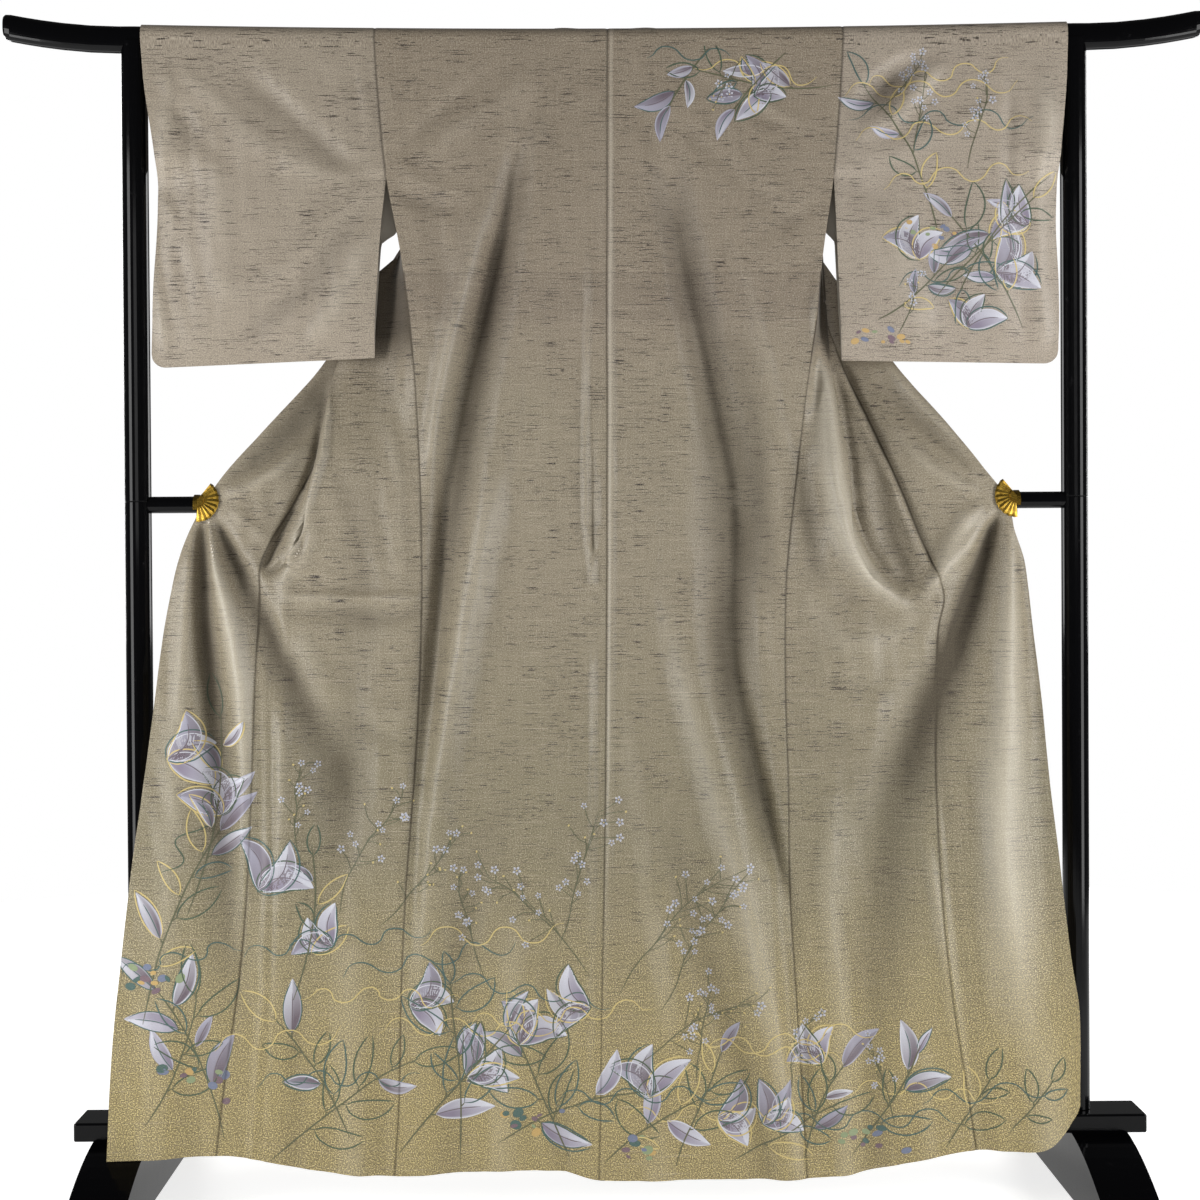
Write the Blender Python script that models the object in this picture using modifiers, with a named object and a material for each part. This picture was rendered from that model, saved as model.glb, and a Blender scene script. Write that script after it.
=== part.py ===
"""Silk kimono hung open over a lacquered kimono stand.

The stand is a floor-standing frame: two arched feet, a base board, two round posts, a crossbar at half
height and a top bar that curves up at both ends. The kimono hangs over the top bar with its back to -Y.
Its two fronts are swung outwards like doors, and a fan-shaped clip pins each one to the crossbar.

Metres, +Z up, origin on the floor below the middle of the stand. Every piece of cloth is a grid of points
on its middle surface, worked out from the seam lines and folds in the tables below, and given a wall.
"""
import math
from collections import namedtuple

import bmesh
import bpy
from mathutils import Vector

# ---------------------------------------------------------------- driving dimensions
FLOOR_Z = 0.0
SEAM_GAP = 0.0003
CLOTH_WALL = 0.0015
COLLAR_WALL = 0.0020

BAR_HALF_LENGTH = 0.864
BAR_HALF_HEIGHT = 0.019
BAR_HALF_DEPTH = 0.015
BAR_Z = 1.674
BAR_SAG = 0.008
BAR_SQUARENESS = 2.3
BAR_STRAIGHT_HALF = 0.70
BAR_END_RISE = 0.019

POST_X = 0.678
POST_RADIUS = 0.019
POST_TOP_Z = BAR_Z - 0.004
POST_JOINT_Z = 1.0085
CROSSBAR_Z = 1.004
CROSSBAR_RADIUS = 0.012

BOARD_HALF_LENGTH = 0.770
BOARD_HALF_DEPTH = 0.040
BOARD_BOTTOM_Z = 0.092
BOARD_THICKNESS = 0.027

FOOT_INNER_X = 0.660
FOOT_WIDTH = 0.081
FOOT_HALF_LENGTH = 0.270
FOOT_TOE_HEIGHT = 0.016
FOOT_TOE_UNDERCUT = 0.004
FOOT_OVER_BOARD = 0.004
FOOT_STEPS = 28

CLIP_X = 0.589
CLIP_Z = 1.010
FAN_RADIUS = 0.031
FAN_RIBS = 9
FAN_BACK_Y = -0.0222
FAN_WALL = 0.0015
FAN_FROM = 50.0
FAN_TO = -92.0
PLEAT_TIP = 0.0008
HUB_RADIUS = 0.0098
HUB_WALL = 0.0026
JAW_WALL = 0.0012
JAW_WIDTH = 0.007
JAW_REACH = 0.0140
JAW_OFFSET = 0.0030

SHOULDER_X = 0.332
NECK_HALF_WIDTH = 0.090
NECK_COLUMNS = 2
FRONT_COLUMNS = 12
OKUMI_COLUMNS = 6
SLEEVE_SHARES = (0.0, 0.22, 0.44, 0.66, 0.85, 0.9375, 0.982, 1.0)
SLEEVE_SEAM_Z = 1.475
SIDE_OPENING_Z = 1.330
COLLAR_SHARES = (0.0, 0.12, 0.24, 0.36, 0.48, 1.0)
HEM_Z = 0.045
SLEEVE_BOTTOM_Z = 1.200
SLEEVE_MOUTH_Z = 1.506
BAR_CLEARANCE = 0.0012

LEFT = -1
RIGHT = 1

# ---------------------------------------------------------------- cloth tables, top to bottom
# Back panel: x of the centre seam and of both side seams, y of the cloth at the centre seam and at the
# side seams.
BackRow = namedtuple("BackRow", "z centre side_left side_right centre_y side_y")
BACK_ROWS = (
    BackRow(1.670, 0.004, 0.331, 0.343, -0.0170, -0.0170),
    BackRow(1.600, 0.003, 0.327, 0.339, -0.0205, -0.0195),
    BackRow(1.475, 0.002, 0.315, 0.328, -0.0270, -0.0250),
    BackRow(1.360, 0.001, 0.294, 0.311, -0.0320, -0.0310),
    BackRow(1.260, 0.000, 0.281, 0.300, -0.0365, -0.0345),
    BackRow(1.150, 0.000, 0.273, 0.284, -0.0400, -0.0365),
    BackRow(1.040, -0.001, 0.268, 0.271, -0.0430, -0.0385),
    BackRow(0.900, -0.002, 0.266, 0.255, -0.0460, -0.0425),
    BackRow(0.750, -0.004, 0.270, 0.252, -0.0490, -0.0460),
    BackRow(0.600, -0.006, 0.279, 0.255, -0.0530, -0.0505),
    BackRow(0.450, -0.009, 0.291, 0.256, -0.0590, -0.0570),
    BackRow(0.300, -0.013, 0.298, 0.263, -0.0670, -0.0650),
    BackRow(0.150, -0.016, 0.301, 0.271, -0.0780, -0.0760),
    BackRow(0.045, -0.019, 0.307, 0.275, -0.0880, -0.0870),
)

# Front panel, hanging from the far side of the bar and swung outwards: distance from the middle of the
# outer fold edge, of the inner tuck behind it and of the front edge (neck, then okumi seam), the y of the
# three layers between them, and how far the Z pleat they make is closed (1) or flat (0).
FrontRow = namedtuple("FrontRow", "z fold tuck edge y1 y2 y3 closed")
FRONT_LEFT = (
    FrontRow(1.670, 0.225, 0.165, 0.090, 0.0170, 0.0170, 0.0170, 0.0),
    FrontRow(1.600, 0.250, 0.180, 0.150, 0.0205, 0.0235, 0.0265, 0.4),
    FrontRow(1.475, 0.300, 0.205, 0.235, 0.0205, 0.0275, 0.0345, 1.0),
    FrontRow(1.400, 0.325, 0.232, 0.270, 0.0180, 0.0250, 0.0320, 1.0),
    FrontRow(1.330, 0.346, 0.258, 0.302, 0.0145, 0.0215, 0.0285, 1.0),
    FrontRow(1.200, 0.393, 0.302, 0.348, 0.0060, 0.0130, 0.0200, 1.0),
    FrontRow(1.130, 0.407, 0.340, 0.390, -0.0110, -0.0050, 0.0010, 1.0),
    FrontRow(1.054, 0.420, 0.377, 0.425, -0.0290, -0.0235, -0.0180, 1.0),
    FrontRow(1.004, 0.429, 0.388, 0.452, -0.0330, -0.0265, -0.0200, 1.0),
    FrontRow(0.952, 0.440, 0.412, 0.483, -0.0360, -0.0300, -0.0240, 1.0),
    FrontRow(0.915, 0.480, 0.468, 0.498, -0.0390, -0.0350, -0.0310, 0.8),
    FrontRow(0.880, 0.490, 0.486, 0.499, -0.0400, -0.0390, -0.0380, 0.0),
    FrontRow(0.746, 0.420, 0.460, 0.505, -0.0460, -0.0460, -0.0430, 0.0),
    FrontRow(0.600, 0.400, 0.460, 0.509, -0.0510, -0.0510, -0.0500, 0.0),
    FrontRow(0.453, 0.400, 0.460, 0.516, -0.0590, -0.0590, -0.0590, 0.0),
    FrontRow(0.300, 0.410, 0.470, 0.529, -0.0680, -0.0680, -0.0700, 0.0),
    FrontRow(0.150, 0.420, 0.480, 0.546, -0.0800, -0.0800, -0.0850, 0.0),
    FrontRow(0.045, 0.430, 0.490, 0.556, -0.0920, -0.0920, -0.0980, 0.0),
)
FRONT_RIGHT = (
    FrontRow(1.670, 0.225, 0.165, 0.090, 0.0170, 0.0170, 0.0170, 0.0),
    FrontRow(1.600, 0.250, 0.180, 0.150, 0.0205, 0.0235, 0.0265, 0.4),
    FrontRow(1.475, 0.300, 0.205, 0.235, 0.0205, 0.0275, 0.0345, 1.0),
    FrontRow(1.400, 0.313, 0.230, 0.268, 0.0180, 0.0250, 0.0320, 1.0),
    FrontRow(1.330, 0.318, 0.246, 0.298, 0.0145, 0.0215, 0.0285, 1.0),
    FrontRow(1.200, 0.325, 0.262, 0.346, 0.0060, 0.0130, 0.0200, 1.0),
    FrontRow(1.130, 0.333, 0.272, 0.377, -0.0110, -0.0050, 0.0010, 1.0),
    FrontRow(1.054, 0.345, 0.290, 0.409, -0.0290, -0.0235, -0.0180, 1.0),
    FrontRow(1.004, 0.347, 0.300, 0.430, -0.0350, -0.0275, -0.0200, 1.0),
    FrontRow(0.952, 0.347, 0.308, 0.450, -0.0400, -0.0310, -0.0220, 1.0),
    FrontRow(0.910, 0.366, 0.345, 0.468, -0.0430, -0.0360, -0.0290, 0.9),
    FrontRow(0.865, 0.415, 0.405, 0.481, -0.0450, -0.0420, -0.0390, 0.4),
    FrontRow(0.820, 0.400, 0.430, 0.473, -0.0450, -0.0440, -0.0420, 0.0),
    FrontRow(0.746, 0.370, 0.420, 0.471, -0.0480, -0.0480, -0.0450, 0.0),
    FrontRow(0.600, 0.360, 0.410, 0.467, -0.0510, -0.0510, -0.0500, 0.0),
    FrontRow(0.453, 0.360, 0.415, 0.471, -0.0590, -0.0590, -0.0590, 0.0),
    FrontRow(0.300, 0.370, 0.425, 0.482, -0.0680, -0.0680, -0.0700, 0.0),
    FrontRow(0.150, 0.380, 0.440, 0.500, -0.0800, -0.0800, -0.0850, 0.0),
    FrontRow(0.045, 0.390, 0.450, 0.513, -0.0920, -0.0920, -0.0980, 0.0),
)

# Okumi: distance from the middle and y of its free edge, which the collar is sewn to down to its end.
EdgeRow = namedtuple("EdgeRow", "z left right y")
OKUMI_EDGE = (
    EdgeRow(1.448, 0.2545, 0.2525, 0.0340),
    EdgeRow(1.330, 0.3300, 0.3350, 0.0275),
    EdgeRow(1.200, 0.4180, 0.4230, 0.0180),
    EdgeRow(1.120, 0.4870, 0.4880, -0.0030),
    EdgeRow(1.050, 0.5480, 0.5430, -0.0190),
    EdgeRow(1.004, 0.5800, 0.5760, -0.0202),
    EdgeRow(0.960, 0.6030, 0.5860, -0.0210),
    EdgeRow(0.920, 0.6170, 0.5990, -0.0235),
    EdgeRow(0.880, 0.6260, 0.6050, -0.0260),
    EdgeRow(0.820, 0.6370, 0.6110, -0.0300),
    EdgeRow(0.718, 0.6490, 0.6210, -0.0400),
    EdgeRow(0.600, 0.6640, 0.6300, -0.0500),
    EdgeRow(0.478, 0.6800, 0.6420, -0.0610),
    EdgeRow(0.334, 0.6940, 0.6530, -0.0750),
    EdgeRow(0.200, 0.7030, 0.6610, -0.0900),
    EdgeRow(0.045, 0.7080, 0.6580, -0.1050),
)

# Height of the hem along the garment, from the left free edge to the right one.
HemRow = namedtuple("HemRow", "x z")
HEM_ROWS = (
    HemRow(-0.720, 0.082), HemRow(-0.620, 0.084), HemRow(-0.532, 0.086), HemRow(-0.438, 0.068),
    HemRow(-0.327, 0.053), HemRow(-0.154, 0.060), HemRow(-0.068, 0.057), HemRow(-0.019, 0.045),
    HemRow(0.126, 0.045), HemRow(0.284, 0.045), HemRow(0.377, 0.058), HemRow(0.501, 0.084),
    HemRow(0.592, 0.083), HemRow(0.622, 0.096), HemRow(0.652, 0.135), HemRow(0.664, 0.165),
)
HEM_FADE = 0.42

# Largest folds, each a line down the cloth: distance from the middle, depth towards +Y and half width.
Fold = namedtuple("Fold", "z x depth half_width")
BACK_FOLDS_LEFT = (
    (
        Fold(1.600, 0.105, 0.000, 0.020), Fold(1.549, 0.119, 0.006, 0.018),
        Fold(1.391, 0.153, 0.016, 0.018), Fold(1.245, 0.192, 0.021, 0.018),
        Fold(1.148, 0.216, 0.022, 0.018), Fold(1.005, 0.238, 0.018, 0.016),
        Fold(0.804, 0.250, 0.018, 0.017), Fold(0.666, 0.262, 0.013, 0.016),
        Fold(0.459, 0.280, 0.004, 0.014), Fold(0.350, 0.285, 0.000, 0.014),
    ),
    (
        Fold(1.560, 0.070, 0.000, 0.040), Fold(1.400, 0.095, -0.008, 0.040),
        Fold(1.200, 0.135, -0.010, 0.040), Fold(0.987, 0.178, -0.015, 0.030),
        Fold(0.849, 0.203, -0.017, 0.028), Fold(0.631, 0.235, -0.014, 0.028),
        Fold(0.482, 0.255, -0.008, 0.030), Fold(0.300, 0.255, -0.004, 0.035),
        Fold(0.045, 0.250, -0.003, 0.035),
    ),
    (
        Fold(1.450, 0.180, 0.000, 0.020), Fold(1.343, 0.200, -0.008, 0.020),
        Fold(1.102, 0.246, -0.008, 0.016), Fold(0.980, 0.255, 0.000, 0.016),
    ),
)
BACK_FOLDS_RIGHT = (
    (
        Fold(1.580, 0.075, 0.000, 0.018), Fold(1.475, 0.090, 0.007, 0.018),
        Fold(1.340, 0.112, 0.013, 0.019), Fold(1.260, 0.128, 0.016, 0.019),
        Fold(1.145, 0.153, 0.021, 0.019), Fold(1.006, 0.183, 0.023, 0.018),
        Fold(0.800, 0.178, 0.015, 0.018), Fold(0.685, 0.198, 0.016, 0.018),
        Fold(0.535, 0.236, 0.012, 0.016), Fold(0.443, 0.250, 0.004, 0.014),
        Fold(0.380, 0.252, 0.000, 0.014),
    ),
    (
        Fold(1.150, 0.075, 0.000, 0.040), Fold(0.961, 0.100, -0.010, 0.036),
        Fold(0.743, 0.133, -0.018, 0.034), Fold(0.513, 0.185, -0.020, 0.032),
        Fold(0.340, 0.222, -0.016, 0.028), Fold(0.110, 0.240, -0.010, 0.026),
        Fold(0.045, 0.240, -0.008, 0.026),
    ),
    (
        Fold(1.250, 0.175, 0.000, 0.024), Fold(1.100, 0.215, -0.010, 0.022),
        Fold(0.950, 0.225, -0.009, 0.018), Fold(0.820, 0.225, 0.000, 0.018),
    ),
)
FRONT_FOLDS_LEFT = (
    (
        Fold(0.880, 0.390, 0.000, 0.050), Fold(0.700, 0.400, 0.006, 0.040),
        Fold(0.575, 0.390, 0.008, 0.035), Fold(0.400, 0.380, 0.003, 0.040),
        Fold(0.250, 0.380, 0.000, 0.040),
    ),
    (
        Fold(0.800, 0.460, 0.000, 0.030), Fold(0.600, 0.460, -0.006, 0.030),
        Fold(0.350, 0.450, -0.005, 0.035), Fold(0.045, 0.450, -0.006, 0.040),
    ),
)
FRONT_FOLDS_RIGHT = (
    (
        Fold(0.880, 0.330, 0.000, 0.050), Fold(0.800, 0.345, -0.012, 0.045),
        Fold(0.700, 0.330, -0.003, 0.045), Fold(0.600, 0.320, 0.000, 0.045),
    ),
    (
        Fold(0.820, 0.440, 0.000, 0.035), Fold(0.648, 0.418, 0.012, 0.035),
        Fold(0.500, 0.365, 0.012, 0.040), Fold(0.350, 0.345, 0.006, 0.040),
        Fold(0.200, 0.345, 0.000, 0.040),
    ),
)
OKUMI_FOLDS_LEFT = (
    (
        Fold(0.985, 0.578, 0.000, 0.010), Fold(0.944, 0.580, 0.008, 0.011),
        Fold(0.807, 0.578, 0.014, 0.015), Fold(0.669, 0.560, 0.010, 0.020),
        Fold(0.433, 0.545, 0.003, 0.030), Fold(0.300, 0.540, 0.000, 0.030),
    ),
    (
        Fold(0.985, 0.562, 0.000, 0.010), Fold(0.944, 0.548, 0.008, 0.012),
        Fold(0.900, 0.528, 0.009, 0.014), Fold(0.840, 0.510, 0.000, 0.016),
    ),
    (
        Fold(0.990, 0.568, 0.000, 0.009), Fold(0.930, 0.564, -0.006, 0.010),
        Fold(0.852, 0.540, -0.010, 0.014), Fold(0.737, 0.520, -0.008, 0.018),
        Fold(0.600, 0.515, 0.000, 0.020),
    ),
)
OKUMI_FOLDS_RIGHT = (
    (
        Fold(0.985, 0.563, 0.000, 0.010), Fold(0.969, 0.559, 0.006, 0.012),
        Fold(0.877, 0.528, 0.014, 0.018), Fold(0.800, 0.500, 0.010, 0.020),
        Fold(0.740, 0.485, 0.000, 0.020),
    ),
    (
        Fold(0.980, 0.575, 0.000, 0.010), Fold(0.900, 0.580, -0.006, 0.014),
        Fold(0.700, 0.570, -0.012, 0.026), Fold(0.500, 0.565, -0.010, 0.032),
        Fold(0.280, 0.575, -0.006, 0.036), Fold(0.045, 0.580, -0.003, 0.040),
    ),
)

# Sleeve: distance from the middle of its inner and outer edges, y of its middle and half the gap between
# its two layers.
SleeveRow = namedtuple("SleeveRow", "z inner_left inner_right outer_left outer_right y half_gap")
SLEEVE_ROWS = (
    SleeveRow(1.670, 0.331, 0.343, 0.666, 0.667, 0.0000, 0.0170),
    SleeveRow(1.600, 0.327, 0.339, 0.660, 0.664, -0.0005, 0.0185),
    SleeveRow(1.506, 0.317, 0.331, 0.646, 0.655, -0.0040, 0.0180),
    SleeveRow(1.475, 0.315, 0.328, 0.644, 0.653, -0.0050, 0.0165),
    SleeveRow(1.400, 0.323, 0.331, 0.646, 0.650, -0.0080, 0.0145),
    SleeveRow(1.320, 0.329, 0.334, 0.651, 0.653, -0.0105, 0.0120),
    SleeveRow(1.250, 0.333, 0.337, 0.653, 0.653, -0.0125, 0.0085),
    SleeveRow(1.200, 0.334, 0.339, 0.654, 0.652, -0.0130, 0.0009),
)
SLEEVE_CORNER = 0.020
SLEEVE_FOLDS_LEFT = (
    (
        Fold(1.660, 0.520, 0.000, 0.020), Fold(1.600, 0.500, 0.004, 0.020),
        Fold(1.530, 0.440, 0.003, 0.025), Fold(1.480, 0.400, 0.000, 0.025),
    ),
    (
        Fold(1.480, 0.340, 0.000, 0.030), Fold(1.400, 0.385, -0.005, 0.030),
        Fold(1.300, 0.440, -0.004, 0.035), Fold(1.220, 0.520, 0.000, 0.035),
    ),
)
SLEEVE_FOLDS_RIGHT = (
    (
        Fold(1.650, 0.450, 0.000, 0.014), Fold(1.630, 0.430, 0.007, 0.016),
        Fold(1.580, 0.390, 0.006, 0.018), Fold(1.520, 0.350, 0.000, 0.018),
    ),
    (
        Fold(1.500, 0.440, 0.000, 0.030), Fold(1.400, 0.470, 0.005, 0.030),
        Fold(1.300, 0.510, 0.004, 0.030), Fold(1.220, 0.560, 0.000, 0.030),
    ),
)

# Collar on the far side of the bar. Round the neck: distance from the middle and drop below the bar's
# ridge, of the sewn edge and of the free edge. Down the fronts: how far the free edge lies inside the sewn
# edge and below it, and how much further back.
CollarNeckRow = namedtuple("CollarNeckRow", "out_x out_drop in_x in_drop")
COLLAR_NECK = (
    CollarNeckRow(0.0000, 0.0010, 0.000, 0.060),
    CollarNeckRow(0.0350, 0.0010, 0.026, 0.061),
    CollarNeckRow(0.0680, 0.0020, 0.046, 0.064),
    CollarNeckRow(0.0845, 0.0100, 0.056, 0.069),
    CollarNeckRow(0.0875, 0.0260, 0.063, 0.078),
)
CollarRow = namedtuple("CollarRow", "z inset drop behind")
COLLAR_FRONT = (
    CollarRow(1.640, 0.038, 0.036, 0.0030),
    CollarRow(1.600, 0.046, 0.036, 0.0040),
    CollarRow(1.540, 0.049, 0.036, 0.0060),
    CollarRow(1.475, 0.050, 0.036, 0.0080),
    CollarRow(1.400, 0.051, 0.036, 0.0080),
    CollarRow(1.330, 0.052, 0.036, 0.0070),
    CollarRow(1.260, 0.052, 0.038, 0.0060),
    CollarRow(1.200, 0.052, 0.040, 0.0050),
    CollarRow(1.120, 0.054, 0.040, 0.0030),
    CollarRow(1.060, 0.058, 0.036, 0.0010),
    CollarRow(1.020, 0.061, 0.033, 0.0006),
    CollarRow(0.990, 0.063, 0.028, 0.0060),
    CollarRow(0.955, 0.066, 0.020, 0.0180),
    CollarRow(0.920, 0.068, 0.012, 0.0220),
    CollarRow(0.885, 0.070, 0.006, 0.0240),
)
COLLAR_BEHIND = 0.0026

# Heights of the cloth's cross-sections below the bar.
SECTION_HEIGHTS = (
    1.640, 1.580, 1.506, 1.475, 1.440, 1.385, 1.330, 1.265, 1.200, 1.145, 1.095, 1.054,
    1.020, 0.985, 0.950, 0.918, 0.885, 0.830, 0.740, 0.630, 0.500, 0.360, 0.210, 0.045,
)
OKUMI_TOP_Z = 1.440
BAR_WRAP_STEPS = 8

COLLECTION = bpy.data.collections.new("kimono_on_stand")
CUTTERS = bpy.data.collections.new("cutters")


# ---------------------------------------------------------------- scene and material helpers
def clear_scene():
    for old in list(bpy.data.objects):
        bpy.data.objects.remove(old, do_unlink=True)


def material(name, colour, roughness, metallic=0.0):
    made = bpy.data.materials.new(name)
    made.use_nodes = True
    shader = made.node_tree.nodes["Principled BSDF"]
    shader.inputs["Base Color"].default_value = (*colour, 1.0)
    shader.inputs["Roughness"].default_value = roughness
    shader.inputs["Metallic"].default_value = metallic
    return made


def add_object(name, data, finish, collection=None):
    made = bpy.data.objects.new(name, data)
    (collection or COLLECTION).objects.link(made)
    if finish is not None:
        data.materials.append(finish)
    return made


def mesh_from_bmesh(name, shape, smooth_angle=None):
    data = bpy.data.meshes.new(name)
    shape.to_mesh(data)
    shape.free()
    if smooth_angle is not None:
        data.shade_smooth()
        data.set_sharp_from_angle(angle=math.radians(smooth_angle))
    return data


# ---------------------------------------------------------------- reading the tables
def ease(value):
    value = min(max(value, 0.0), 1.0)
    return value * value * (3.0 - 2.0 * value)


def read(rows, key, column, place):
    """A smooth curve through one column of a table, at the place along its key column."""
    keys = [getattr(row, key) for row in rows]
    values = [getattr(row, column) for row in rows]
    if keys[0] > keys[-1]:
        keys.reverse()
        values.reverse()
    if place <= keys[0]:
        return values[0]
    if place >= keys[-1]:
        return values[-1]
    i = max(n for n in range(len(keys) - 1) if keys[n] <= place)

    def slope(n):
        low = max(n - 1, 0)
        high = min(n + 1, len(keys) - 1)
        return (values[high] - values[low]) / (keys[high] - keys[low])

    step = keys[i + 1] - keys[i]
    t = (place - keys[i]) / step
    start = values[i] * (1 + 2 * t) * (1 - t) ** 2 + values[i + 1] * t * t * (3 - 2 * t)
    return start + step * (slope(i) * t * (1 - t) ** 2 + slope(i + 1) * t * t * (t - 1))


def fold_depth(folds, z, x):
    """How far the folds push the cloth towards +Y at height z, x from the middle."""
    depth = 0.0
    for line in folds:
        if not line[-1].z <= z <= line[0].z:
            continue
        away = (x - read(line, "z", "x", z)) / read(line, "z", "half_width", z)
        depth += read(line, "z", "depth", z) * math.exp(-away * away)
    return depth


def side_name(side, stem=""):
    return stem + ("left" if side == LEFT else "right")


def hem_lift(x, z):
    """The hem's own rise at x, fading out up the cloth."""
    fade = ease((HEM_Z + HEM_FADE - z) / HEM_FADE)
    return (read(HEM_ROWS, "x", "z", x) - HEM_Z) * fade


# ---------------------------------------------------------------- cloth sections
def bar_height(x):
    """Height of the bar's axis between the posts, where it sags a little in the middle."""
    return BAR_Z - BAR_SAG * max(1.0 - (x / POST_X) ** 2, 0.0)


def squared(turn):
    """Cosine and sine of a turn round a rounded rectangle."""
    power = 2.0 / BAR_SQUARENESS
    cosine, sine = math.cos(turn), math.sin(turn)
    return math.copysign(abs(cosine) ** power, cosine), math.copysign(abs(sine) ** power, sine)


def bar_wrap(x, angle, further=0.0):
    """The cloth round the bar: angle 0 behind it (-Y), 90 on its ridge, 180 in front (+Y)."""
    away = CLOTH_WALL / 2 + BAR_CLEARANCE + further
    across, up = squared(math.radians(angle))
    return Vector((x, -(BAR_HALF_DEPTH + away) * across, bar_height(x) + (BAR_HALF_HEIGHT + away) * up))


def back_section(side, z):
    """Points of one back panel at height z, from the centre seam to the side seam."""
    centre = read(BACK_ROWS, "z", "centre", z)
    edge = side * read(BACK_ROWS, "z", side_name(side, "side_"), z)
    centre_y = read(BACK_ROWS, "z", "centre_y", z)
    side_y = read(BACK_ROWS, "z", "side_y", z)
    folds = BACK_FOLDS_LEFT if side == LEFT else BACK_FOLDS_RIGHT
    points = []
    for share in back_shares():
        x = centre + (edge - centre) * share
        y = centre_y + (side_y - centre_y) * share * share
        still = min(1.0, (1.0 - share) / 0.10)
        y += still * fold_depth(folds, z, side * x)
        points.append(Vector((x, y, z + hem_lift(x, z))))
    return points


def back_shares():
    """Where the back's columns lie between the centre and the side: neck columns, then shoulder columns."""
    neck = NECK_HALF_WIDTH / SHOULDER_X
    shares = [neck * n / NECK_COLUMNS for n in range(NECK_COLUMNS)]
    return shares + [neck + (1.0 - neck) * n / FRONT_COLUMNS for n in range(FRONT_COLUMNS + 1)]


def front_section(side, z):
    """Points of one front panel at height z, from the side seam round the Z pleat to the okumi seam."""
    rows = FRONT_LEFT if side == LEFT else FRONT_RIGHT
    fold, tuck, edge = (read(rows, "z", name, z) for name in ("fold", "tuck", "edge"))
    y1, y2, y3 = (read(rows, "z", name, z) for name in ("y1", "y2", "y3"))
    closed = min(max(read(rows, "z", "closed", z), 0.0), 1.0)
    start = read(BACK_ROWS, "z", side_name(side, "side_"), z)
    start_y = front_side_y(z)
    r1 = (y2 - y1) / 2
    r2 = (y3 - y2) / 2
    rise = [ease(share / 0.40) for share in (0.25, 0.50, 0.75)]
    pleated = [(start, start_y)]
    pleated += [(start + (fold - start) * share, start_y + (y1 - start_y) * up)
                for share, up in zip((0.25, 0.50, 0.75), rise)]
    pleated += [(fold - r1, y1), (fold, y1 + r1), (fold - r1, y2)]
    pleated += [(tuck + r2, y2), (tuck, y2 + r2), (tuck + r2, y3)]
    pleated += [(tuck + (edge - tuck) * share, y3) for share in (0.40, 0.70)]
    pleated.append((edge, y3))
    folds = FRONT_FOLDS_LEFT if side == LEFT else FRONT_FOLDS_RIGHT
    points = []
    for n, (px, py) in enumerate(pleated):
        share = n / FRONT_COLUMNS
        flat_x = start + (edge - start) * share
        flat_y = start_y + (y3 - start_y) * ease(share)
        x = flat_x + (px - flat_x) * closed
        y = flat_y + (py - flat_y) * closed
        y += (1.0 - closed) * min(1.0, share * 8, (1.0 - share) * 8) * fold_depth(folds, z, x)
        points.append(Vector((side * x, y, z + hem_lift(side * x, z))))
    return points


def front_side_y(z):
    """y of the front's side edge: on the sleeve's front layer, then across the opening to the back."""
    back_y = read(BACK_ROWS, "z", "side_y", z)
    if z <= SIDE_OPENING_Z:
        return back_y
    sewn_y = sleeve_layer_y(z, 1.0)
    if z >= SLEEVE_SEAM_Z:
        return sewn_y
    share = (SLEEVE_SEAM_Z - z) / (SLEEVE_SEAM_Z - SIDE_OPENING_Z)
    return sewn_y + (back_y - sewn_y) * ease(share)


def sleeve_layer_y(z, layer):
    """y of the armhole's edge: layer 1 is the front one at +Y, layer -1 the back one."""
    if layer < 0:
        return read(BACK_ROWS, "z", "side_y", z)
    return read(SLEEVE_ROWS, "z", "y", z) + read(SLEEVE_ROWS, "z", "half_gap", z)


def okumi_section(side, z):
    """Points of one okumi at height z, from its seam to its free edge."""
    seam = front_section(side, z)[-1]
    seam.z -= hem_lift(seam.x, z)
    edge_x = side * read(OKUMI_EDGE, "z", side_name(side), z)
    edge_y = read(OKUMI_EDGE, "z", "y", z)
    folds = OKUMI_FOLDS_LEFT if side == LEFT else OKUMI_FOLDS_RIGHT
    points = []
    for n in range(OKUMI_COLUMNS + 1):
        share = n / OKUMI_COLUMNS
        x = seam.x + (edge_x - seam.x) * share
        y = seam.y + (edge_y - seam.y) * share
        y += min(1.0, share * 5, (1.0 - share) * 8 + 0.3) * fold_depth(folds, z, side * x)
        points.append(Vector((x, y, z + hem_lift(x, z))))
    return points


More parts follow.
